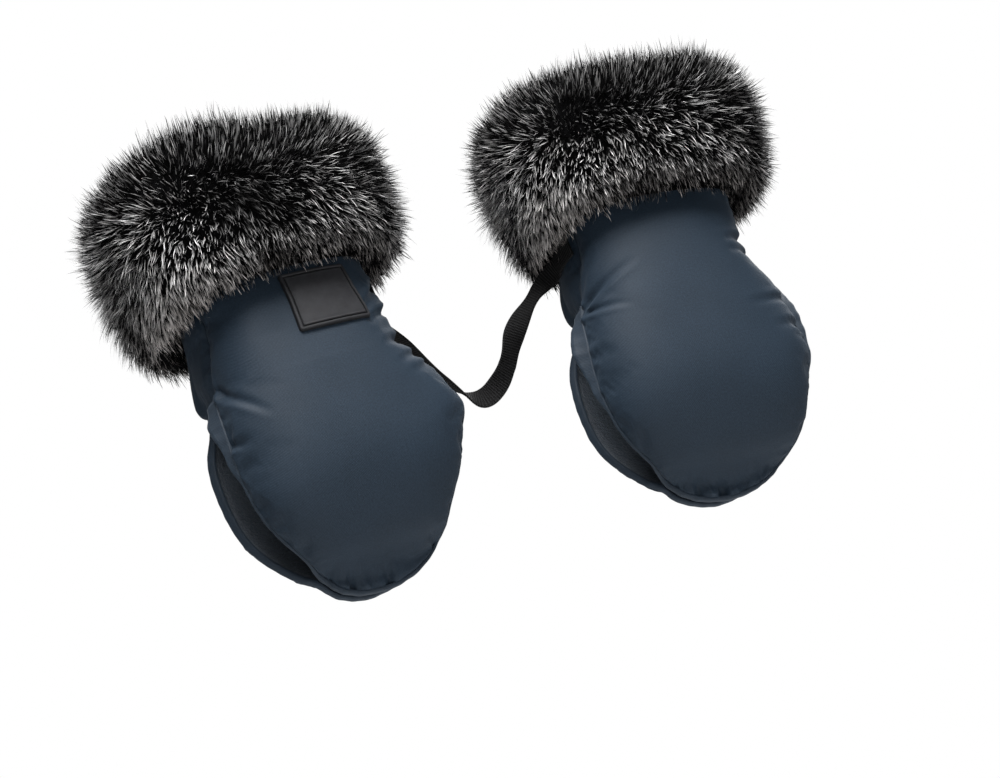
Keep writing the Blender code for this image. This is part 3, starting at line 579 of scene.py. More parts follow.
def swollen(name, panel, outer, held, seed):
    """The outer face after the simulation, which runs on every second point of the grid."""
    rows, columns = panel.shape
    few_rows, few_columns = rows // 2 + 1, columns // 2 + 1
    r = np.linspace(0, rows - 1, few_rows).round().astype(int)
    c = np.linspace(0, columns - 1, few_columns).round().astype(int)
    start = outer[r][:, c]
    noise = ripple(panel.arc[r][:, c] / SWELL_NOISE_PITCH,
                   panel.from_top[r][:, c] / SWELL_NOISE_PITCH, seed)
    pinned = held[r][:, c].copy()
    pinned[[0, -1]] = True
    pinned[:, [0, -1]] = True
    start = start + panel.normals[r][:, c] * (noise * SWELL_NOISE * ~pinned)[..., None]
    if panel.flip:
        shift = swell(name, start[:, ::-1], pinned[:, ::-1])[:, ::-1]
    else:
        shift = swell(name, start, pinned)
    broad = smoothed(shift, BROAD_SMOOTHING).swapaxes(0, 1)
    broad = smoothed(broad, BROAD_SMOOTHING).swapaxes(0, 1)
    near = np.minimum.reduce([FOLD_FROM_LEFT * panel.from_left, panel.from_right,
                              FOLD_FROM_HEM * panel.from_hem])[r][:, c]
    shift = broad + (shift - broad) * mix(FOLD_REST, 1, bell(near, 0, FOLD_REACH))[..., None]
    down, turn = spline_weights(r, np.arange(rows)), spline_weights(c, np.arange(columns))
    return outer + np.einsum("ra,cb,abk->rck", down, turn, shift)


def puckers(panel, seed, weights, gather=None):
    """Short gathers that run in from the edges: weights are shares for left, right, top and hem."""
    total = np.zeros(panel.shape)
    if gather is not None:
        hem = GATHER_REST + GATHER_GAIN * bell(panel.arc, *gather)
        weights = (*weights[:3], weights[3] * hem)
    edges = ((panel.from_left, panel.from_top), (panel.from_right, panel.from_top),
             (panel.from_top, panel.arc), (panel.from_hem, panel.arc))
    for i, ((reach, place), weight) in enumerate(zip(edges, weights)):
        wave = ripple(place / PUCKER_LENGTH, reach / PUCKER_RUN + 7 * i, seed + i)
        wave += FINE_PUCKER_SHARE * ripple(place / PUCKER_LENGTH * FINE_PUCKERS,
                                           reach / FINE_PUCKER_RUN, seed + 50 + i)
        fade = bell(reach, 0, PUCKER_REACH) * np.clip(reach / PUCKER_EDGE, PUCKER_EDGE_SHARE, 1)
        total += weight * wave * fade
    return total * PUCKER_HEIGHT


def creases(panel, table):
    """Folds along lines in the panel's own (arc, height): each has a width and two depths."""
    total = np.zeros(panel.shape)
    here = np.stack((panel.arc, panel.z), axis=-1)
    for start, end, width, first, last in table:
        start = np.array(start)
        run = np.array(end) - start
        length = np.linalg.norm(run)
        share = np.clip((here - start) @ run / length**2, 0, 1)
        away = here - start - share[..., None] * run
        side = (away @ np.array((run[1], -run[0]))) / length
        far = np.linalg.norm(away, axis=-1) / width
        rim = RIM_SHARE * np.exp(-((side / width - RIM_PLACE) ** 2) - (far / RIM_ENDS) ** 4)
        total += mix(first, last, share) * (np.exp(-far * far) - rim)
    return total


# Creases of each front panel: from and to as (arc, height), width, depth at both ends
FRONT_CREASES = {
    "left": (
        ((-0.0690, 0.0500), (-0.0480, 0.0200), 0.0026, -0.0034, -0.0004),
        ((-0.0740, 0.0110), (-0.0620, 0.0060), 0.0026, -0.0026, -0.0002),
        ((0.0640, 0.0980), (0.0380, 0.0700), 0.0032, -0.0052, -0.0020),
        ((0.0440, -0.0840), (0.0330, -0.0690), 0.0030, -0.0036, -0.0003),
        ((0.0035, -0.0975), (0.0010, -0.0810), 0.0028, -0.0034, -0.0003),
        ((0.0700, 0.0720), (0.0350, 0.0590), 0.0028, -0.0040, -0.0010),
        ((0.0715, 0.0520), (0.0400, 0.0420), 0.0028, -0.0040, -0.0008),
        ((0.0725, 0.0390), (0.0440, 0.0280), 0.0026, -0.0034, -0.0006),
        ((0.0732, 0.0280), (0.0480, 0.0190), 0.0026, -0.0030, -0.0005),
        ((-0.0630, 0.0960), (-0.0480, 0.0900), 0.0045, -0.0012, -0.0002),
    ),
    "right": (
        ((-0.0712, 0.0455), (-0.0330, 0.0620), 0.0026, -0.0032, -0.0003),
        ((-0.0712, 0.0415), (-0.0440, 0.0340), 0.0024, -0.0030, -0.0003),
        ((-0.0700, 0.0540), (-0.0520, 0.0780), 0.0028, -0.0018, -0.0002),
        ((0.0690, 0.0740), (0.0340, 0.0670), 0.0028, -0.0036, -0.0010),
        ((0.0700, 0.0610), (0.0340, 0.0580), 0.0026, -0.0034, -0.0008),
        ((0.0725, 0.0230), (0.0380, 0.0175), 0.0030, -0.0026, -0.0005),
        ((0.0735, 0.0040), (0.0500, 0.0010), 0.0030, -0.0028, -0.0005),
        ((0.0742, -0.0080), (0.0580, -0.0060), 0.0028, -0.0028, -0.0004),
    ),
}
BACK_CREASES = {
    "left": (
        ((-0.0970, 0.0700), (-0.0800, 0.0670), 0.0030, -0.0020, -0.0003),
        ((-0.0970, 0.0560), (-0.0800, 0.0540), 0.0030, -0.0020, -0.0003),
        ((-0.0950, 0.0980), (-0.0850, 0.0800), 0.0040, -0.0024, -0.0006),
    ),
    "right": (
        ((-0.0970, 0.0690), (-0.0800, 0.0660), 0.0030, -0.0020, -0.0003),
        ((-0.0970, 0.0580), (-0.0800, 0.0550), 0.0030, -0.0018, -0.0003),
    ),
}
HEM_GATHERS = {"left": (-0.026, 0.022), "right": (-0.004, 0.036)}


def pad(side_name, side, word, panel, edges, held, seed, creased=(), weights=(1, 1, 0, 1),
        gather=None, thin=1.0):
    """Padded piece of a panel, from behind its lining to the shell's face."""
    name = f"{side_name}_{word}_pad"
    reaches = (panel.from_left, panel.from_right, panel.from_top, panel.from_hem)
    share = np.minimum.reduce([shoulder(reach, edge) for reach, edge in zip(reaches, edges)])
    full = panel.thickness * share * thin
    if gather is not None:
        full = full + HEM_ROLL * bell(panel.from_hem, HEM_ROLL_PLACE, HEM_ROLL_REACH) * share
    outer = panel.points + panel.normals * full[..., None]
    outer = swollen(name, panel, outer, held, seed)
    wave = ripple(panel.arc / WAVE_LENGTH, panel.from_top / WAVE_LENGTH, seed + 9)
    folds = puckers(panel, seed, weights, gather) + WAVE_HEIGHT * wave + creases(panel, creased)
    inner = panel.points + panel.normals * (LINING_CLOTH + PIECE_GAP)
    outer = outer + panel.normals * folds[..., None]
    lift = ((outer - inner) * panel.normals).sum(axis=-1)
    outer += panel.normals * np.maximum(0, LEAST_PAD - lift)[..., None]
    made = slab(name, placed(outer, side), placed(inner, side), panel.uv, panel.flip)
    finish_with(made, shell_cloth)
    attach(made, BODIES[word].format(side_name))
    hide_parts(f"{side_name}_{word}_shell", f"{side_name}_{word}_padding")


def lining(side_name, side, word, panel, seed):
    """Fleece sheet on the inner face of a panel."""
    down, turn = np.arange(0, panel.shape[0], 2), np.arange(0, panel.shape[1], 2)
    down[-1], turn[-1] = panel.shape[0] - 1, panel.shape[1] - 1
    points, normals = panel.points[down][:, turn], panel.normals[down][:, turn]
    uv = panel.uv[down][:, turn]
    nap = NAP_HEIGHT * ripple(uv[..., 0] / NAP_PITCH, uv[..., 1] / NAP_PITCH, seed)
    outer = points + normals * LINING_CLOTH
    inner = points + normals * (LINING_FACE + nap)[..., None]
    made = slab(f"{side_name}_{word}_fleece", placed(outer, side), placed(inner, side), uv,
                panel.flip)
    finish_with(made, lining_fleece)
    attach(made, BODIES[word].format(side_name))
    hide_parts(f"{side_name}_{word}_lining")


def smoothed(values, times):
    for _ in range(times):
        inner = (values[:-2] + 2 * values[1:-1] + values[2:]) / 4
        values = np.concatenate((values[:1], inner, values[-1:]))
    return values


# Edge strips: shares across a strip, its outer face's place and thickness, and its unevenness
STRIP_SHARES = (0.0, 0.06, 0.16, 0.32, 0.5, 0.68, 0.84, 0.94, 1.0)
STRIP_TOP, STRIP_LOW, STRIP_SWAY, STRIP_SWAY_PITCH = 0.97, 0.0003, 0.0003, 0.007
BELLY, BELLY_WAVE, BELLY_PITCH = 0.0007, 0.0004, 0.006
BINDING_GAP, BINDING_SHARE, BINDING_GRIP = 0.0003, 0.6, 0.0004
BOX_FLARE, BOX_WAVE, BOX_PITCH = 0.75, 0.12, 0.007
# The slits' facing: how far it hangs in, and how it stands out in two steps, with their heights
FACING_WIDTH, FACING_START, FACING_RUN = 0.0050, 0.012, 0.030
BOX_ENDS = {-1: 0.004, 1: -0.012}
BOX_STEPS = ((0.0034, -0.018, 0.016), (0.0055, 0.0, 0.030))
SLIT_TOP_POINTS = 10


def strip(side_name, side, word, line, facing, seed, extra, box=0.0):
    """Rounded strip along a free edge. extra is how far its inner border hangs past the lining."""
    points, normals, heights = line
    middle = points + normals * heights[:, None] / 2
    run = unit(smoothed(np.gradient(middle, axis=0), 2))
    out = smoothed(unit(facing * np.cross(run, normals)), 3)
    out = unit(out - run * (out * run).sum(axis=-1, keepdims=True))
    place = distances(middle)
    belly = BELLY + BELLY_WAVE * ripple(place / BELLY_PITCH, 0.3, seed)
    top = heights * STRIP_TOP + STRIP_SWAY * ripple(place / STRIP_SWAY_PITCH, 5.1, seed + 3)
    low = -STRIP_LOW - extra
    section = []
    for share in STRIP_SHARES:
        swing = np.sqrt(max(0.0, 1 - (2 * share - 1) ** 4))
        depth = EDGE_GAP + BINDING_GAP + (BINDING_CLOTH * BINDING_SHARE + belly + box) * swing
        section.append((depth, mix(low, top, share), swing))
    section += [(-BINDING_GRIP, height, 0.0) for height in (top, mix(low, top, 0.5), low)]
    flare = BOX_FLARE * box * (1 + BOX_WAVE * ripple(place / BOX_PITCH, 2.3, seed + 5))
    rings = np.stack([
        points + out * np.broadcast_to(depth, heights.shape)[:, None]
        + normals * np.broadcast_to(height + flare * swing, heights.shape)[:, None]
        for depth, height, swing in section
    ], axis=1)
    faces = tube_faces(*rings.shape[:2], facing < 0)
    uv = np.stack(np.broadcast_arrays(place[:, None], distances(rings[0])[None]), axis=-1)
    made = build_mesh(f"{side_name}_{word}_facing", placed(rings.reshape(-1, 3), side), faces,
                      uv.reshape(-1, 2))
    finish_with(made, binding_tape)
    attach(made, BODIES[word].format(side_name))
    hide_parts(f"{side_name}_{word}_edge")


def border(panel, first_row):
    """The panel's points, normals and thickness down its left side, along its hem and up again."""
    rows, columns = panel.shape
    cells = [(r, 0) for r in range(first_row, rows - 1)]
    cells += [(rows - 1, c) for c in range(columns - 1)]
    cells += [(r, columns - 1) for r in range(rows - 1, first_row - 1, -1)]
    r, c = np.array(cells).T
    return panel.points[r, c], panel.normals[r, c], panel.thickness[r, c]


def slit_top(side_sign):
    behind = math.pi - SEAM_ANGLE - 4 * BINDING_CLOTH / half_width(SLIT_HEIGHT)
    angle = np.linspace(behind, SEAM_ANGLE, SLIT_TOP_POINTS, endpoint=False)
    flip = np.array((side_sign, 1, 1))
    points = tube_point(angle, SLIT_HEIGHT) * flip
    normals = tube_normal(angle, SLIT_HEIGHT, True) * flip
    return points, normals, puff(back_share(angle), UPPER_PUFF_SHARES[-1]) * SLIT_ROLL[0]


# Materials

WEAVE_PITCH, TAPE_PITCH, YARN_PITCH, RIB_PITCH = 0.0011, 0.0009, 0.0013, 0.0018
SHEEN_TINT = (0.62, 0.72, 0.85, 1.0)


def new_material(name, rough, **uniform):
    made = bpy.data.materials.new(name)
    made.use_nodes = True
    shader = made.node_tree.nodes["Principled BSDF"]
    shader.inputs["Roughness"].default_value = rough
    for socket, value in uniform.items():
        shader.inputs[socket.replace("_", " ")].default_value = value
    return made, made.node_tree, shader


def node(tree, kind, **settings):
    made = tree.nodes.new(kind)
    for key, value in settings.items():
        setattr(made, key, value)
    return made


def math_node(tree, operation, *values):
    made = node(tree, "ShaderNodeMath", operation=operation)
    for socket, value in zip(made.inputs, values):
        if isinstance(value, (int, float)):
            socket.default_value = value
        else:
            tree.links.new(value, socket)
    return made.outputs[0]


def metres(tree):
    """The piece's own coordinates along its cloth, in metres."""
    uv = node(tree, "ShaderNodeUVMap", uv_map="metres")
    split = node(tree, "ShaderNodeSeparateXYZ")
    tree.links.new(uv.outputs[0], split.inputs[0])
    return uv.outputs[0], split.outputs[0], split.outputs[1]


def noise_node(tree, place, scale, detail=3.0, rough=0.5):
    made = node(tree, "ShaderNodeTexNoise")
    tree.links.new(place, made.inputs["Vector"])
    for socket, value in (("Scale", scale), ("Detail", detail), ("Roughness", rough)):
        made.inputs[socket].default_value = value
    return made.outputs["Fac"]


def ramp(tree, value, *stops):
    """Colours over a value: each stop is a place and a colour, or a number for a grey."""
    made = node(tree, "ShaderNodeValToRGB")
    tree.links.new(value, made.inputs[0])
    bar = made.color_ramp
    while len(bar.elements) < len(stops):
        bar.elements.new(0.5)
    for element, (place, colour) in zip(bar.elements, stops):
        element.position = place
        element.color = (*(colour if isinstance(colour, tuple) else (colour,) * 3), 1.0)
    return made.outputs[0]


def set_colour(tree, shader, base, times=None):
    """The shader's colour, multiplied by a second one where that is given."""
    if times is not None:
        made = node(tree, "ShaderNodeMix", data_type="RGBA", blend_type="MULTIPLY")
        made.inputs[0].default_value = 1.0
        tree.links.new(base, made.inputs[6])
        tree.links.new(times, made.inputs[7])
        base = made.outputs[2]
    tree.links.new(base, shader.inputs["Base Color"])


def set_roughness(tree, shader, value, low, high):
    made = node(tree, "ShaderNodeMapRange")
    tree.links.new(value, made.inputs[0])
    made.inputs[3].default_value, made.inputs[4].default_value = low, high
    tree.links.new(made.outputs[0], shader.inputs["Roughness"])


def relief(tree, shader, height, distance, strength=1.0):
    made = node(tree, "ShaderNodeBump")
    made.inputs["Strength"].default_value = strength
    made.inputs["Distance"].default_value = distance
    tree.links.new(height, made.inputs["Height"])
    tree.links.new(made.outputs[0], shader.inputs["Normal"])


def sine(tree, place, pitch):
    return math_node(tree, "SINE", math_node(tree, "MULTIPLY", place, 2 * math.pi / pitch))


def weave(tree, x, y, pitch):
    """Plain weave: threads go over and under in turn."""
    return math_node(tree, "MULTIPLY", sine(tree, x, pitch), sine(tree, y, pitch))


def weighted(tree, value, share):
    return math_node(tree, "MULTIPLY", value, share)


def shell_material():
    made, tree, shader = new_material("shell_cloth", 0.60, Specular_IOR_Level=0.26,
                                      Sheen_Weight=0.08, Sheen_Roughness=0.45,
                                      Sheen_Tint=SHEEN_TINT)
    uv, x, y = metres(tree)
    cloth = weave(tree, x, y, WEAVE_PITCH)
    cloudy = noise_node(tree, uv, 26.0, 4.0)
    grainy = noise_node(tree, uv, 900.0, 2.0)
    base = ramp(tree, cloudy, (0.30, (0.0168, 0.0298, 0.0470)), (0.70, (0.0198, 0.0346, 0.0545)))
    set_colour(tree, shader, base, ramp(tree, grainy, (0.30, 0.80), (0.72, 1.16)))
    set_roughness(tree, shader, cloudy, 0.54, 0.64)
    height = math_node(tree, "ADD", weighted(tree, cloth, 0.5), weighted(tree, grainy, 0.8))
    relief(tree, shader, height, 0.00010, 0.9)
    return made


def tape_material():
    made, tree, shader = new_material("binding_tape", 0.6, Specular_IOR_Level=0.35,
                                      Sheen_Weight=0.15, Sheen_Roughness=0.5,
                                      Sheen_Tint=SHEEN_TINT)
    uv, x, _ = metres(tree)
    ribs = sine(tree, x, TAPE_PITCH)
    cloudy = noise_node(tree, uv, 60.0)
    grainy = noise_node(tree, uv, 1100.0, 2.0)
    base = ramp(tree, cloudy, (0.30, (0.0155, 0.0272, 0.0430)), (0.70, (0.0182, 0.0316, 0.0498)))
    set_colour(tree, shader, base, ramp(tree, grainy, (0.30, 0.78), (0.70, 1.12)))
    relief(tree, shader, math_node(tree, "ADD", weighted(tree, ribs, 0.35), grainy), 0.00008)
    return made


def fleece_material():
    made, tree, shader = new_material("lining_fleece", 0.95, Specular_IOR_Level=0.15,
                                      Sheen_Weight=0.5, Sheen_Roughness=0.6,
                                      Sheen_Tint=(0.5, 0.55, 0.62, 1.0))
    uv = metres(tree)[0]
    loops = noise_node(tree, uv, 520.0, 5.0, 0.7)
    tufts = noise_node(tree, uv, 130.0)
    base = ramp(tree, loops, (0.25, (0.010, 0.015, 0.021)), (0.75, (0.036, 0.049, 0.064)))
    set_colour(tree, shader, base)
    set_roughness(tree, shader, loops, 0.88, 1.0)
    relief(tree, shader, math_node(tree, "ADD", loops, tufts), 0.0009)
    return made


def fur_material(name, rough):
    made, tree, shader = new_material(name, rough, Specular_IOR_Level=0.05)
    tint = node(tree, "ShaderNodeVertexColor", layer_name="tint")
    place = node(tree, "ShaderNodeTexCoord")
    patchy = noise_node(tree, place.outputs["Object"], 45.0)
    shade = ramp(tree, patchy, (0.30, (0.72, 0.71, 0.70)), (0.70, (1.15, 1.15, 1.16)))
    set_colour(tree, shader, tint.outputs[0], shade)
    set_roughness(tree, shader, patchy, rough - 0.06, rough + 0.08)
    return made


def undercoat_material():
    made, tree, shader = new_material("fur_undercoat", 0.95, Specular_IOR_Level=0.05)
    stretched = node(tree, "ShaderNodeMapping")
    tree.links.new(metres(tree)[0], stretched.inputs[0])
    stretched.inputs["Scale"].default_value = (1.0, 0.25, 1.0)
    down = noise_node(tree, stretched.outputs[0], 900.0, 4.0, 0.65)
    set_colour(tree, shader, ramp(tree, down, (0.35, (0.0008, 0.0008, 0.0009)),
                                  (0.75, (0.0045, 0.0045, 0.005))))
    relief(tree, shader, down, 0.002)
    return made


def rubber_material():
    """Matt rubber, with painted shade in the groove that runs round it and on its rounded outer
    edge.
    """
    made, tree, shader = new_material("rubber", 0.6, Specular_IOR_Level=0.3)
    uv, x, y = metres(tree)
    grain = noise_node(tree, uv, 1500.0)
    dust = noise_node(tree, uv, 140.0, 5.0, 0.6)
    base = ramp(tree, dust, (0.30, (0.024, 0.0240, 0.027)), (0.72, (0.038, 0.0385, 0.043)))
    # Painted shade: darker across the rounded edge and a dark line along the groove, by the
    # distance in from the edge
    inward = [math_node(tree, "SUBTRACT", size / 2, math_node(tree, "ABSOLUTE", value))
              for size, value in ((PATCH_WIDTH, x), (PATCH_HEIGHT, y))]
    centimetres = weighted(tree, math_node(tree, "MINIMUM", *inward), 100.0)
    set_colour(tree, shader, base, ramp(tree, centimetres, (0.0, 0.4), (0.12, 0.9), (0.23, 0.9),
                                        (0.285, 0.08), (0.34, 1.0)))
    set_roughness(tree, shader, dust, 0.52, 0.68)
    relief(tree, shader, grain, 0.00007)
    return made


def webbing_material():
    made, tree, shader = new_material("webbing", 0.75, Specular_IOR_Level=0.2, Sheen_Weight=0.04)
    uv, x, y = metres(tree)
    yarn = weave(tree, x, y, YARN_PITCH)
    fuzz = noise_node(tree, uv, 1300.0)
    base = ramp(tree, fuzz, (0.30, (0.0022, 0.0022, 0.0024)), (0.72, (0.0070, 0.0070, 0.0074)))
    # Painted light on the ribs: painted highlight on the crests, painted shade in the hollows
    # between them
    rib = math_node(tree, "ADD", weighted(tree, sine(tree, x, RIB_PITCH), 0.5), 0.5)
    set_colour(tree, shader, base, ramp(tree, rib, (0.45, 0.12), (0.92, 3.0)))
    set_roughness(tree, shader, fuzz, 0.6, 0.8)
    relief(tree, shader, math_node(tree, "ADD", yarn, fuzz), 0.00015)
    return made


def metal_material():
    made, tree, shader = new_material("snap_metal", 0.3, Metallic=1.0)
    place = node(tree, "ShaderNodeTexCoord")
    brushed = noise_node(tree, place.outputs["Object"], 2400.0)
    worn = noise_node(tree, place.outputs["Object"], 320.0, 4.0)
    set_colour(tree, shader, ramp(tree, worn, (0.30, (0.014, 0.014, 0.016)),
                                  (0.72, (0.040, 0.040, 0.043))))
    set_roughness(tree, shader, brushed, 0.40, 0.56)
    relief(tree, shader, brushed, 0.00002)
    return made


shell_cloth, binding_tape, lining_fleece = shell_material(), tape_material(), fleece_material()
guard_hair, down_hair = fur_material("fur", 0.5), fur_material("fur_down", 0.62)
fur_undercoat, rubber = undercoat_material(), rubber_material()
webbing, snap_metal = webbing_material(), metal_material()


def finish_with(made, material):
    made.data.materials.clear()
    made.data.materials.append(material)


# Faux fur: a dark undercoat and many thin tapered locks whose tips lie on the cuff's outer shape.
# A row goes from 0 at the hem, over the top, to 1 inside the mouth. A turn goes once round.

FUR_SHARES = ((0.74, 0.06), (1.0, 0.36), (0.97, 0.66), (0.72, 0.90), (0.25, 1.0))
RISE_PLACES = (0.0, 0.07, 0.14, 0.21, 0.30, 0.40, 0.50, 0.60, 0.70, 0.80, 0.90, 1.0)
RISE_ANGLES = (-108.0, -92.0, -70.0, -53.0, -38.0, -21.0, 12.0, 50.0, 80.0, 112.0, 165.0, 215.0)
# Waves: amount, how many round and up the cuff, and seed
RISE_WAVES, RISE_SCATTER = ((16, 15, 6, 3), (8, 41, 15, 4)), 8
SWAY_WAVES, SWAY_SCATTER = ((0.26, 17, 7, 11), (0.14, 47, 17, 12)), 0.12
LIFT_WAVE, COAT_WAVE = (0.0018, 30, 11, 5), (0.0016, 80, 22, 21)
LEAST_OUTWARD, ROOT_BEND = 0.30, 0.60
HAIRS = 36000
HAIR_STEPS = (0.0, 0.42, 0.76, 1.0)
HAIR_WIDTH_SHARES = (0.8, 1.0, 0.75)
HAIR_PLACES = (0.0, 0.10, 0.25, 0.50, 0.68, 0.80, 0.90, 1.0)
HAIR_LENGTHS = (0.012, 0.017, 0.024, 0.026, 0.026, 0.024, 0.014, 0.011)
HAIR_LIFTS = (0.000, 0.003, 0.0035, 0.0045, 0.0045, 0.001, 0.0, 0.0)
LENGTH_SPREAD, WIDTH_SPREAD, LIGHT_WIDER, LIFT_POWER = (0.75, 1.15), (0.7, 1.3), 0.40, 1.3
# Share of the hairs that stand loose and by how much, and of those moved to the lowest rows
LOOSE_SHARE, LOOSE_LIFT, HEM_SHARE, HEM_ROWS = 0.20, 0.0072, 0.10, 0.16
# The fringe over the hem: its rows, and how far it hangs, most of all at one side
FRINGE_ROWS, FRINGE_DROP, FRINGE_LEAST, FRINGE_INWARD = 0.12, 0.0065, 0.2, 0.5
TUFT_GAIN, TUFT_TURN, TUFT_REACH = 0.35, 0.64, 0.13
# The lowest hairs lie inward, but for a part of the way round
TUCK, TUCK_ROWS, TUCK_TURN, TUCK_FREE, TUCK_RUN = 0.0130, 0.05, 0.62, 0.8, 0.3
# Where the cuffs are fuller: amount by side, then the place and reach as (turn, row)
LOW_BULGES, LOW_BULGE = {-1: 0.0095, 1: 0.0025}, ((0.675, 0.13), (0.080, 0.13))
TOP_BULGES, TOP_BULGE = {-1: 0.0075, 1: 0.0}, ((0.93, 0.62), (0.070, 0.12))
RAISED_ROW, RAISED_RUN = 0.35, 0.2
LOCK_HAIRS, LOCK_PULL, LOCK_SHARES = 7, 0.55, (0.0, 0.10, 0.45, 1.0)
# How far the fur keeps off the padded neck, and how much more for each metre below the hem
SKIN_GAP, SKIN_SLOPE, SKIN_DEPTH = 0.0012, 0.25, 0.001
# Colours: shares of light hairs by row, painted light by muff (all over, and on its outer left),
# and the greys of light and dark tips
LIGHT_SHARES = (0.92, 0.92, 0.86, 0.66, 0.54, 0.46, 0.36, 0.30)
PAINTED_SIDE_LIGHTS = {-1: (1.06, 1.7), 1: (0.90, 0.9)}
LIGHT_TIPS, DARK_TIPS, ROOT_GREY = (0.34, 1.0), (0.001, 0.007), 0.0012
TIP_STARTS, TIP_RUN = (0.52, 0.80), 0.20
# Painted light on each cuff's outer left: its place and reach as (turn, row), how many more tips
# are light there, and how much sooner they turn light
PAINTED_LEFT_LIGHT, PAINTED_LEFT_GAIN, PAINTED_LEFT_START = ((0.79, 0.16), (0.095, 0.20)), 0.5, 0.18
FRINGE_SHADE, FRINGE_SHADE_ROWS = 0.75, 1.6
GREY, BROWN = np.array((1.0, 0.99, 0.985)), np.array((1.0, 0.93, 0.89))
# The dark whorl: turn, row, size and depth by side, and its reach as (turn, row)
WHORLS = {-1: (0.955, 0.285, 1.35, 0.92), 1: (0.925, 0.375, 1.05, 0.75)}
WHORL_REACH = (0.056, 0.095)
# The undercoat: how deep it lies by row, and how much of a bulge it leaves to the hairs
COAT_PLACES = (0, 0.08, 0.16, 0.3, 0.6, 0.8, 1.0)
COAT_DEPTHS = (0.0030, 0.0060, 0.0055, 0.0060, 0.0060, 0.0045, 0.003)
COAT_BULGE, COAT_COLUMNS, COAT_ROWS = 0.6, 180, 46
COAT_UV_ROUND, COAT_UV_UP, COAT_RIM, COAT_FOOT = 0.45, 0.004, 0.0008, 0.002


def beside_tube(angles, z, offset):
    """Points a level distance off the tube, which ends at the mouth and isn't closed above it."""
    z = np.broadcast_to(z, angles.shape)
    low = np.minimum(z, MOUTH_HEIGHT)
    point = tube_point(angles, low) + unit(tube_normal(angles, low) * (1, 1, 0)) * offset
    point[..., 2] = z
    return point


def fur_envelope(angles):
    """Rows of the cuff's outer shape, from its hem up, over the top and down inside."""
    out, top = EDGE_THICKNESS, MOUTH_HEIGHT + FUR_TOP_RISE
    height = top - FUR_EDGE_HEIGHT
    fold_end = UPPER_HEIGHTS[1]
    hang = mix(FUR_FRONT_HANG, FUR_BACK_HANG, (1 - np.cos(angles)) / 2) - FUR_TILT * np.sin(angles)
    spots = [(out + 0.10 * FUR_OUTER, FUR_EDGE_HEIGHT + 0.001 - 0.3 * hang),
             (out + 0.36 * FUR_OUTER, FUR_EDGE_HEIGHT - hang)]
    spots += [(out + a * FUR_OUTER, FUR_EDGE_HEIGHT + b * height) for a, b in FUR_SHARES]
    spots += [(-0.5 * FUR_INNER, mix(MOUTH_HEIGHT, top, 0.8)),
              (-FUR_INNER, mix(fold_end, MOUTH_HEIGHT, 0.9)),
              (-0.9 * FUR_INNER, mix(fold_end, MOUTH_HEIGHT, 0.25))]
    return np.array([beside_tube(angles, z, offset) for offset, z in spots])


class FurField:
    """The cuff's outer shape on a fine grid that closes round the muff, with its normals."""

    def __init__(self, rows=64, columns=240):
        coarse = fur_envelope(np.linspace(0, 2 * math.pi, columns + 1))
        knots = distances(coarse)
        weights = spline_weights(knots, np.linspace(0, knots[-1], rows))
        self.points = np.einsum("ra,acd->rcd", weights, coarse)
        up = np.gradient(self.points, axis=0)
        around = np.gradient(self.points, axis=1)
        around[:, 0] = around[:, -1] = self.points[:, 1] - self.points[:, -2]
        self.around = unit(around)
        self.normals = unit(np.cross(self.around, unit(up)))

    def at(self, values, row_share, turn_share):
        """Values on the fine grid, read at shares of the way up and round."""
        r = row_share * (values.shape[0] - 1)
        c = turn_share * (values.shape[1] - 1)
        i = np.minimum(r.astype(int), values.shape[0] - 2)
        j = np.minimum(c.astype(int), values.shape[1] - 2)
        fr, fc = (r - i)[:, None], (c - j)[:, None]
        low = mix(values[i, j], values[i, j + 1], fc)
        return mix(low, mix(values[i + 1, j], values[i + 1, j + 1], fc), fr)


fur_field = FurField()


def spot(turn, row, middle, reach):
    """1 at a place on the cuff, and less and less round it."""
    across, up = (turn - middle[0]) / reach[0], (row - middle[1]) / reach[1]
    return np.exp(-(across**2) - up**2)


def bulge(row, turn, side):
    """How much fuller the cuff is low down on its outer left, and on top of the left one."""
    return (LOW_BULGES[side] * spot(turn, row, *LOW_BULGE)
            + TOP_BULGES[side] * spot(turn, row, *TOP_BULGE))


def wavy(turn, row, amount, round_count, up_count, seed):
    return amount * ripple(turn * round_count, row * up_count, seed)


def hair_directions(random, row, turn, level, around, normal):
    """Each hair's direction at its root and at its tip."""
    rise = np.interp(row, RISE_PLACES, RISE_ANGLES)
    rise = rise + wavy(turn, row, *RISE_WAVES[0]) + wavy(turn, row, *RISE_WAVES[1])
    rise = np.radians(rise + random.normal(0, RISE_SCATTER, HAIRS))[:, None]
    sway = wavy(turn, row, *SWAY_WAVES[0]) + wavy(turn, row, *SWAY_WAVES[1])
    sway += random.normal(0, SWAY_SCATTER, HAIRS)
    last = unit(level * np.cos(rise) + UP * np.sin(rise) + around * sway[:, None])
    out = (last * normal).sum(axis=-1, keepdims=True)
    last = unit(last + normal * np.maximum(0, LEAST_OUTWARD - out))
    return unit(mix(normal, last, ROOT_BEND)), last


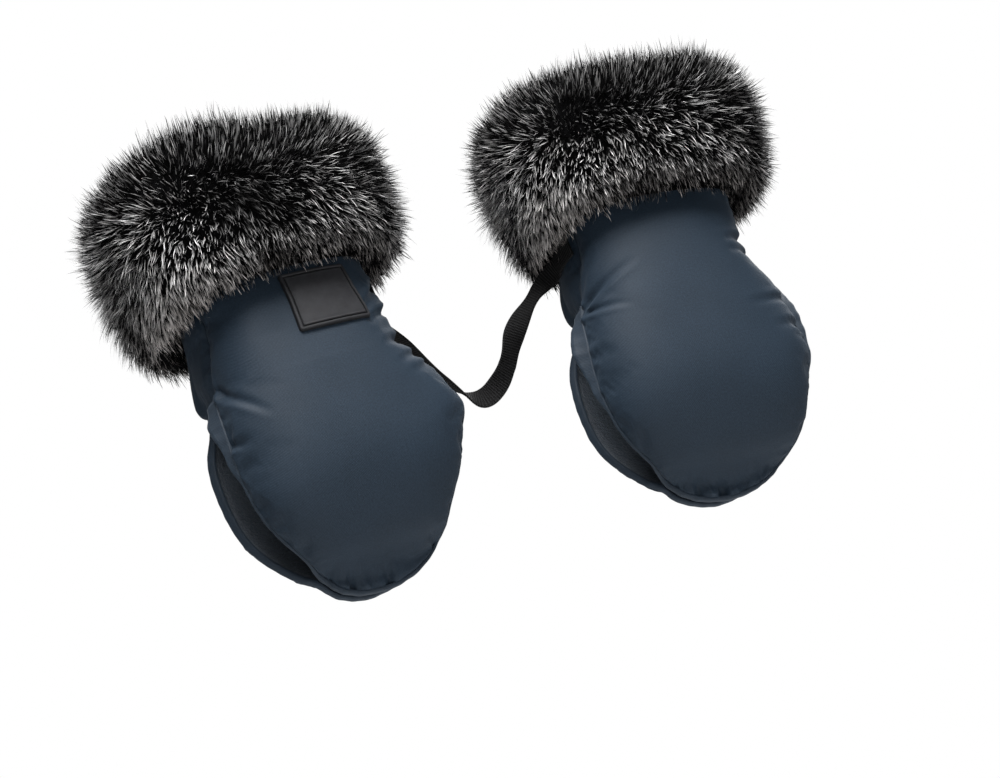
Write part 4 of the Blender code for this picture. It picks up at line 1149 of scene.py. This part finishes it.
def hair_tips(random, side, row, turn, level, normal, low, high):
    """Where the hairs end: lifted by row, raised over the bulges, hanging and tucked at the hem."""
    lift = mix(low, high, random.random(HAIRS) ** LIFT_POWER)
    lift += np.interp(row, HAIR_PLACES, HAIR_LIFTS)
    loose = random.random(HAIRS) < LOOSE_SHARE
    lift += np.where(loose, random.uniform(0, LOOSE_LIFT, HAIRS), 0)
    lift += wavy(turn, row, *LIFT_WAVE)
    raised = unit(level + UP * ease((row - RAISED_ROW) / RAISED_RUN)[:, None])
    tip = fur_field.at(fur_field.points, row, turn)
    tip = tip + normal * lift[:, None] + raised * bulge(row, turn, side)[:, None]
    inward = np.clip(1 - row / TUCK_ROWS, 0, 1)[:, None]
    fringe = np.clip(1 - row / FRINGE_ROWS, 0, 1)
    drop = FRINGE_DROP * (1 + TUFT_GAIN * bell(turn, TUFT_TURN, TUFT_REACH))
    hanging = fringe * random.uniform(FRINGE_LEAST, 1.0, HAIRS) * drop
    tip = tip - (UP + FRINGE_INWARD * inward * level) * hanging[:, None]
    tucked = ease((TUCK_FREE - np.abs(turn - TUCK_TURN)) / TUCK_RUN)
    return tip - level * inward * (TUCK * random.random(HAIRS) * tucked)[:, None]


def hair_paths(random, side, low, high):
    """Points along each hair from its root to its tip, in the muff's own frame."""
    row, turn = random.random(HAIRS), random.random(HAIRS)
    row = np.where(random.random(HAIRS) < HEM_SHARE, row * HEM_ROWS, row)
    normal = unit(fur_field.at(fur_field.normals, row, turn))
    around = unit(fur_field.at(fur_field.around, row, turn))
    level = unit(np.cross(around, UP))
    first, last = hair_directions(random, row, turn, level, around, normal)
    tip = hair_tips(random, side, row, turn, level, normal, low, high)
    length = np.interp(row, HAIR_PLACES, HAIR_LENGTHS) * random.uniform(*LENGTH_SPREAD, HAIRS)
    t = np.array(HAIR_STEPS)[None, :, None]
    spread = first[:, None] * (1 - t) ** 2 / 2 + last[:, None] * (1 - t**2) / 2
    return tip[:, None] - spread * length[:, None, None], turn, row, normal


def gathered(paths, random):
    """Hairs lean towards the tip of a near hair, so that they end in small pointed locks."""
    tips = paths[:, -1]
    guides = random.choice(len(paths), len(paths) // LOCK_HAIRS, replace=False)
    tree = kdtree.KDTree(len(guides))
    for i, guide in enumerate(guides):
        tree.insert(tips[guide], i)
    tree.balance()
    near = guides[np.array([tree.find(tip)[1] for tip in tips])]
    share = np.array(LOCK_SHARES)[None, :, None]
    strength = random.uniform(0.0, LOCK_PULL, len(paths))[:, None, None]
    return paths + (paths[near] - paths) * share * strength


def kept_outside(paths, turn):
    """Moves what would dip into the padded neck back out of it."""
    z = paths[..., 2]
    low = np.clip(z, 0, MOUTH_HEIGHT)
    around = turn[:, None] * 2 * math.pi
    normal = unit(tube_normal(around, low) * (1, 1, 0))
    depth = ((paths - tube_point(around, low)) * normal).sum(axis=-1)
    padded = EDGE_THICKNESS + SKIN_GAP + SKIN_SLOPE * np.maximum(0, FUR_EDGE_HEIGHT - z)
    clear = np.where((z < MOUTH_HEIGHT) & (depth > -SKIN_DEPTH), padded, -1.0)
    return paths + normal * np.maximum(0, clear - depth)[..., None]


def hair_mesh(name, side, paths, normal, width, tint):
    """Tapered ribbons: two points at every place along a hair but its tip, and one there."""
    pairs = len(HAIR_WIDTH_SHARES)
    run = unit(np.gradient(paths, axis=1))
    flat = unit(np.cross(run, normal[:, None]))
    half = flat[:, :pairs] * (width[:, None] * np.array(HAIR_WIDTH_SHARES))[..., None] / 2
    body = paths[:, :pairs]
    points = np.concatenate((body - half, body + half, paths[:, pairs:]), axis=1)
    first = np.arange(len(paths))[:, None] * points.shape[1]
    quads = np.concatenate([first + np.array((k, k + pairs, k + pairs + 1, k + 1))
                            for k in range(pairs - 1)])
    tips = first + np.array((pairs - 1, 2 * pairs - 1, 2 * pairs))
    colours = np.concatenate((tint[:, :pairs], tint[:, :pairs], tint[:, pairs:]), axis=1)
    return build_mesh(name, placed(points.reshape(-1, 3), side), [quads, tips],
                      tint=colours.reshape(-1, 4))


def shaded(random, side, turn, row, light, share):
    """Colour along each hair: a black root, and a tip that is light on some of them, with painted
    light on the cuff's outer left.
    """
    count = len(row)
    # Painted light: tips lighter as a whole on one muff, and lighter, more often light and light
    # from nearer the root on the outer left
    left = spot(turn, row, *PAINTED_LEFT_LIGHT)
    whorl_turn, whorl_row, whorl_size, whorl_depth = WHORLS[side]
    from_whorl = (((turn - whorl_turn + 0.5) % 1 - 0.5) / WHORL_REACH[0]) ** 2
    from_whorl += ((row - whorl_row) / WHORL_REACH[1]) ** 2
    plain, low_left = PAINTED_SIDE_LIGHTS[side]
    light = light * plain * (1 + low_left * left)
    light = light * (1 - whorl_depth * np.exp(-from_whorl / whorl_size**2))
    share = np.interp(row, HAIR_PLACES, LIGHT_SHARES) * share * (1 + PAINTED_LEFT_GAIN * left)
    light_hair = random.random(count) < share
    tip = np.where(light_hair, random.uniform(*LIGHT_TIPS, count) * light,
                   random.uniform(*DARK_TIPS, count))
    fringe = np.clip(1 - row / (FRINGE_SHADE_ROWS * FRINGE_ROWS), 0, 1)
    tip = np.minimum(tip, 1.0) * mix(1.0, FRINGE_SHADE, fringe)
    start = (random.uniform(*TIP_STARTS, count) - PAINTED_LEFT_START * left)[:, None]
    t = np.array(HAIR_STEPS)[None]
    grey = mix(ROOT_GREY, tip[:, None], ease((t - start) / TIP_RUN))
    warm = mix(GREY, BROWN, fringe[:, None])
    return np.pad(grey[..., None] * warm[:, None], ((0, 0), (0, 0), (0, 1)), constant_values=1.0)


def fur(side_name, side):
    random = np.random.default_rng(7 if side < 0 else 8)
    for kind, material, low, high, light, share, wide in (
        ("guard", guard_hair, -0.0060, 0.0025, 1.20, 0.84, 0.00046),
        ("down", down_hair, -0.0095, -0.0015, 0.34, 0.36, 0.00052),
    ):
        paths, turn, row, normal = hair_paths(random, side, low, high)
        paths = kept_outside(gathered(paths, random), turn)
        tint = shaded(random, side, turn, row, light, share)
        width = wide * random.uniform(*WIDTH_SPREAD, HAIRS)
        width = width * (1 + LIGHT_WIDER * np.minimum(tint[:, -1, 0], 1) ** 0.5)
        hair = hair_mesh(f"{side_name}_fur_{kind}", side, paths, normal, width, tint)
        finish_with(hair, material)
        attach(hair, f"{side_name}_muff")
        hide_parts(f"{side_name}_fur_cuff")


def undercoat(side_name, side):
    """Closed dark body under the hairs, from the hem up and over the mouth's rim."""
    turns = np.linspace(0, 1, COAT_COLUMNS, endpoint=False)
    rings = []
    for share in np.linspace(0.0, 1.0, COAT_ROWS):
        row = np.full(COAT_COLUMNS, share)
        normal = unit(fur_field.at(fur_field.normals, row, turns))
        depth = np.interp(share, COAT_PLACES, COAT_DEPTHS) + wavy(turns, row, *COAT_WAVE)
        depth = depth - COAT_BULGE * bulge(row, turns, side)
        rings.append(fur_field.at(fur_field.points, row, turns) - normal * depth[:, None])
    rim, skin = MOUTH_HEIGHT + COAT_RIM, EDGE_THICKNESS + SKIN_GAP
    for offset, z in ((-SKIN_GAP, UPPER_HEIGHTS[1]), (-SKIN_GAP, rim),
                      (skin, rim), (skin, FUR_EDGE_HEIGHT + COAT_FOOT)):
        rings.append(beside_tube(turns * 2 * math.pi, z, offset))
    rings = np.array(rings)
    up = np.arange(len(rings))[:, None] * COAT_UV_UP
    uv = np.stack(np.broadcast_arrays(turns[None] * COAT_UV_ROUND, up), axis=-1)
    made = build_mesh(f"{side_name}_fur_undercoat", placed(rings.reshape(-1, 3), side),
                      [ring_quads(len(rings), COAT_COLUMNS, True)], uv.reshape(-1, 2))
    finish_with(made, fur_undercoat)
    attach(made, f"{side_name}_muff")
    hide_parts(f"{side_name}_fur_cuff")


# Rubber patch

PATCH_GRID = (144, 132)
PATCH_CORNER, PATCH_ROUNDING, PATCH_SEAT, PATCH_LEAST = 0.0020, 0.0012, 0.0007, 0.0001
# The rim's height, where it ends inwards and the two runs of its edges
PATCH_RIM, PATCH_RIM_END, PATCH_RIM_RUNS = 0.0006, 0.0026, (0.0005, 0.0008)
# The groove inside the rim and the ridge next to it: rise, place and width
PATCH_LINES = ((-0.00080, 0.0029, 0.00036), (0.0002, 0.0040, 0.00040))


def patch_piece():
    """Moulded label with rounded corners, a raised rim and a fine line inside it."""
    x, y = np.meshgrid(*(np.linspace(-0.5, 0.5, count) * size
                         for count, size in zip(PATCH_GRID, (PATCH_WIDTH, PATCH_HEIGHT))))
    reach_x, reach_y = PATCH_WIDTH / 2 - np.abs(x), PATCH_HEIGHT / 2 - np.abs(y)
    near = (reach_x < PATCH_CORNER) & (reach_y < PATCH_CORNER)
    to_corner = PATCH_CORNER - np.hypot(PATCH_CORNER - reach_x, PATCH_CORNER - reach_y)
    inward = np.where(near, to_corner, np.minimum(reach_x, reach_y))
    pull = np.clip(-inward, 0, None)
    shrink = 1 - pull / np.maximum(np.hypot(np.abs(x), np.abs(y)), 1e-9)
    x, y = x * shrink, y * shrink
    inward = np.clip(inward, 0, None)
    rounding = np.clip(1 - (1 - np.clip(inward / PATCH_ROUNDING, 0, 1)) ** 2, 0, 1)
    rise = PATCH_THICKNESS * np.sqrt(rounding)
    rim = ease((PATCH_RIM_END - inward) / PATCH_RIM_RUNS[0])
    rise = rise + PATCH_RIM * rim * ease(inward / PATCH_RIM_RUNS[1])
    for amount, place, width in PATCH_LINES:
        rise = rise + amount * bell(inward, place, width)
    arc = PATCH_OFFSET + x * math.cos(PATCH_TURN) + y * math.sin(PATCH_TURN)
    z = PATCH_MIDDLE - y * math.cos(PATCH_TURN) + x * math.sin(PATCH_TURN)
    angle = arc / (NECK_HALF_WIDTH + CROWN_THICKNESS)
    normal = tube_normal(angle, z)
    seat = puff_at(angle / SEAM_ANGLE, z) + PATCH_SEAT
    under = tube_point(angle, z) + normal * seat[..., None]
    over = under + normal * np.maximum(rise, PATCH_LEAST)[..., None]
    made = slab("left_patch_label", placed(over, -1), placed(under, -1), np.stack((x, y), axis=-1),
                False)
    finish_with(made, rubber)
    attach(made, "left_muff")
    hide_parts("left_patch")


# Webbing strap. Shares run from 0 at the left muff to 1 at the right one.

RIB_HEIGHT = 0.00020
STRAP_STEPS, STRAP_END_STEPS = 880, 80
STRAP_BOW, BOW_START, BOW_RUN, BOW_END, BOW_END_RUN = 0.0070, 0.56, 0.12, 0.86, 0.10
HANG_SHARE, TWIST_START, TWIST_RUN = 0.34, 0.36, 0.24
# How flat it lies where it hangs, and how that turns over near an end
FLAT_HANGING, FLAT_TURNED, TURN_PLACE, TURN_REACH, TURN_RUN = 0.36, 0.78, 0.054, 0.019, 0.03
# Places across the strap and its thickness there: the selvedges are thick and have no ribs
ACROSS_SHARES = np.array((-1.0, -0.97, -0.86, -0.6, -0.3, 0.0, 0.3, 0.6, 0.86, 0.97, 1.0))
THICKNESS_SHARES = np.array((0.55, 0.95, 1.0, 0.86, 0.86, 0.86, 0.86, 0.86, 1.0, 0.95, 0.55))
SELVEDGE = 0.9
MIRROR = np.array((-1, 1, 1))


def strap_route():
    start_z = FUR_EDGE_HEIGHT - STRAP_END_BELOW_FUR
    route = []
    for turn_share, fall_share, lift_share in STRAP_SEAT_SHARES:
        z = start_z - fall_share * STRAP_WIDTH
        angle = mix(SEAM_ANGLE, math.pi - SEAM_ANGLE, turn_share)
        lift = puff_at(back_share(angle), z) + PIECE_GAP + lift_share * STRAP_THICKNESS
        route.append(placed(tube_point(angle, z) + tube_normal(angle, z) * lift, -1))
    knee = route[-1]
    for across_share, behind_share, fall_share in STRAP_HANG_SHARES:
        route.append(np.array((across_share * knee[0], mix(knee[1], STRAP_BEHIND_BAR, behind_share),
                               mix(knee[2], STRAP_LOWEST, fall_share))))
    return np.array(route + [point * MIRROR for point in route[-2::-1]])


def smooth_curve(points, steps):
    padded = np.concatenate(([2 * points[0] - points[1]], points, [2 * points[-1] - points[-2]]))
    place = np.linspace(0, len(points) - 1, steps + 1)
    k = np.minimum(place.astype(int), len(points) - 2)
    t = (place - k)[:, None]
    a, b, c, d = padded[k], padded[k + 1], padded[k + 2], padded[k + 3]
    curve = 2 * b + (c - a) * t + (2 * a - 5 * b + 4 * c - d) * t**2
    return (curve + (3 * b - a - 3 * c + d) * t**3) / 2


def strap_widths(curve, place):
    """The strap's direction across at each step: along the side seams, and turned as it hangs."""
    step = np.arange(STRAP_STEPS + 1)
    seam_z = FUR_EDGE_HEIGHT - STRAP_WIDTH
    rise = tube_point(math.pi / 2, seam_z + PIECE_GAP) - tube_point(math.pi / 2, seam_z - PIECE_GAP)
    rise = muff_place(-1)[:3, :3] @ unit(rise)
    seam = np.where(step[:, None] < STRAP_STEPS / 2, rise, rise * MIRROR)
    hang = ease(np.minimum(step, STRAP_STEPS - step) / (HANG_SHARE * STRAP_STEPS))[:, None]
    from_end = np.minimum(place, place[-1] - place)[:, None]
    turned = FLAT_TURNED * bell(from_end, TURN_PLACE, TURN_REACH) * ease(from_end / TURN_RUN)
    twist = ease((step / STRAP_STEPS - TWIST_START) / TWIST_RUN)[:, None]
    flat = mix(-hang, FLAT_HANGING * hang - turned, twist)
    wide = mix(-seam, np.sign(flat) * (0.0, 1.0, 0.0), np.abs(flat))
    run = unit(np.gradient(curve, axis=0))
    wide = unit(wide - run * (wide * run).sum(axis=1, keepdims=True))
    return wide, np.cross(run, wide)


def strap_piece():
    """Ribbed webbing with thick selvedges, swept along the strap's route."""
    curve = smooth_curve(strap_route(), STRAP_STEPS)
    share = np.arange(STRAP_STEPS + 1) / STRAP_STEPS
    curve[:, 0] -= STRAP_BOW * (ease((share - BOW_START) / BOW_RUN)
                                * ease((BOW_END - share) / BOW_END_RUN))
    place = distances(curve)
    wide, thick = strap_widths(curve, place)
    ribs = RIB_HEIGHT * np.sin(place * 2 * math.pi / RIB_PITCH)
    half_thick, half_wide = STRAP_THICKNESS / 2, STRAP_WIDTH / 2
    rings = []
    for direction in (1, -1):
        for across_share, full in zip(ACROSS_SHARES[::direction], THICKNESS_SHARES[::direction]):
            height = direction * (half_thick * full + ribs * (abs(across_share) < SELVEDGE))
            rings.append(curve + wide * across_share * half_wide + thick * height[:, None])
    rings = np.stack(rings, axis=1)
    quads, ends = tube_faces(*rings.shape[:2], True)
    turn = np.concatenate((ACROSS_SHARES, ACROSS_SHARES[::-1])) * half_wide
    uv = np.stack(np.broadcast_arrays(place[:, None], turn[None]), axis=-1)
    made = build_mesh("strap_webbing", rings.reshape(-1, 3), [np.roll(quads, 1, axis=1), ends],
                      uv.reshape(-1, 2))
    finish_with(made, webbing)
    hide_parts("connecting_strap")
    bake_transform(made)


# The pieces


def slit_line():
    """The line of the front panel's strip: over a slit's top, down, round the hem and up again."""
    first_row = int(np.searchsorted(-front.z[:, 0], -SLIT_HEIGHT))
    parts = (slit_top(-1), border(front, first_row), [part[::-1] for part in slit_top(1)])
    return [np.concatenate(values) for values in zip(*parts)]


def facing_sizes(line, box_end):
    """How far the slits' facing hangs in along that line, and how far it stands out."""
    count, z = len(line[0]), line[0][:, 2]
    beside = np.abs(np.arange(count) - count / 2) < count / 2 - SLIT_TOP_POINTS
    wide = FACING_WIDTH * ease((z - FACING_START) / FACING_RUN) * beside
    low, high = (amount * ease((z - box_end - start) / run) for amount, start, run in BOX_STEPS)
    return smoothed(wide, 6), smoothed((low + high) * beside, 3)


held_front = front.z > FUR_EDGE_HEIGHT + HELD_ABOVE
under_patch = ((np.abs(front.arc - PATCH_OFFSET) < PATCH_WIDTH / 2 + HELD_ROUND_PATCH[0])
               & (np.abs(front.z - PATCH_MIDDLE) < PATCH_HEIGHT / 2 + HELD_ROUND_PATCH[1]))
front_side = edge_between(FREE, SEWN, ease((front.z - SLIT_HEIGHT + SEAM_BLEND / 2) / SEAM_BLEND))
middle = (ease((back.from_left - MIDDLE_START) / SEAM_BLEND)
          * ease((back.from_right - MIDDLE_START) / SEAM_BLEND))
slim = mix(mix(SLIT_THIN, 1.0, ease(back.from_hem / SLIT_THIN_REACH)), 1.0, middle)
line = slit_line()
for side_name, side in SIDES:
    seed = 100 if side < 0 else 200
    pad(side_name, side, "front", front, (front_side, front_side, PLAIN, FREE),
        held_front | under_patch if side < 0 else held_front, seed,
        FRONT_CREASES[side_name], (0.5, 1, 0, 1), HEM_GATHERS[side_name])
    pad(side_name, side, "back", back, (SEWN, SEWN, PLAIN, edge_between(SLIT_ROLL, SEWN, middle)),
        back.z > FUR_EDGE_HEIGHT + HELD_ABOVE, seed + 20,
        BACK_CREASES[side_name], weights=(1, 1, 0, 0.8), thin=slim)
    pad(side_name, side, "flap", flap, (FREE, FREE, SEWN, FREE), np.zeros(flap.shape, bool),
        seed + 40, weights=(1, 1, 0.8, 1), gather=(0.0, 0.040))
    for word, panel in (("front", front), ("back", back), ("flap", flap)):
        lining(side_name, side, word, panel, seed + 60)
    strip(side_name, side, "front", line, 1, seed + 70, *facing_sizes(line, BOX_ENDS[side]))
    strip(side_name, side, "flap", border(flap, 0), -1, seed + 80, 0.0)
    undercoat(side_name, side)
    fur(side_name, side)
    for number in (1, 2, 3):
        for kind in ("stud", "socket"):
            finish_with(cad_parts[f"{side_name}_snap_{kind}_{number}"], snap_metal)
patch_piece()
strap_piece()


# Floor, light and background


def by_camera_ray(tree, share, lit, seen, output):
    """Shows one shader to the camera, by a share, and another one to the light."""
    path, mixed = node(tree, "ShaderNodeLightPath"), node(tree, "ShaderNodeMixShader")
    tree.links.new(math_node(tree, "MULTIPLY", path.outputs["Is Camera Ray"], share),
                   mixed.inputs[0])
    tree.links.new(lit.outputs[0], mixed.inputs[1])
    tree.links.new(seen.outputs[0], mixed.inputs[2])
    tree.links.new(mixed.outputs[0], tree.nodes[output].inputs[0])


def pale_floor():
    mesh = bpy.data.meshes.new("floor")
    half, low = 60.0, -1.05
    corners = [(-half, -half, low), (half, -half, low), (half, half, low), (-half, half, low)]
    mesh.from_pydata(corners, [], [(0, 1, 2, 3)])
    floor = bpy.data.objects.new("floor", mesh)
    bpy.context.scene.collection.objects.link(floor)
    made, tree, shader = new_material("floor", 0.9, Specular_IOR_Level=0.1)
    place = node(tree, "ShaderNodeTexCoord")
    cloudy = noise_node(tree, place.outputs["Object"], 3.0, 2.0)
    set_colour(tree, shader, ramp(tree, cloudy, (0.3, 0.80), (0.7, 0.82)))
    glow = node(tree, "ShaderNodeEmission")
    glow.inputs["Color"].default_value = (0.94, 0.94, 0.94, 1)
    by_camera_ray(tree, 0.85, shader, glow, "Material Output")
    mesh.materials.append(made)


def soft_light(name, place, size, power):
    """Area light at a place from the object: the camera's right, up and towards it."""
    data = bpy.data.lights.new(name, "AREA")
    data.shape = "DISK"
    data.size, data.energy = size, power
    light = bpy.data.objects.new(name, data)
    stand = CAMERA_CENTRE + camera_right * place[0] + camera_up * place[1] + camera_back * place[2]
    light.location = stand
    light.rotation_euler = (CAMERA_CENTRE - stand).to_track_quat("-Z", "Y").to_euler()
    bpy.context.scene.collection.objects.link(light)


def pale_world():
    world = bpy.data.worlds.new("world")
    bpy.context.scene.world = world
    world.use_nodes = True
    tree = world.node_tree
    seen, lit = tree.nodes["Background"], node(tree, "ShaderNodeBackground")
    for made, colour, strength in ((seen, (1, 1, 1, 1), 1.0), (lit, (0.95, 0.97, 1, 1), 0.14)):
        made.inputs["Color"].default_value = colour
        made.inputs["Strength"].default_value = strength
    by_camera_ray(tree, 1.0, lit, seen, "World Output")


pale_floor()
pale_world()
soft_light("key", (-0.40, 1.90, 0.47), 1.5, 86)
soft_light("front", (0.4, 0.6, 2.2), 1.4, 6)
soft_light("behind", (0.6, 1.2, -1.6), 1.4, 18)
bpy.context.scene.view_settings.view_transform = "Standard"
bpy.context.scene.view_settings.look = "None"
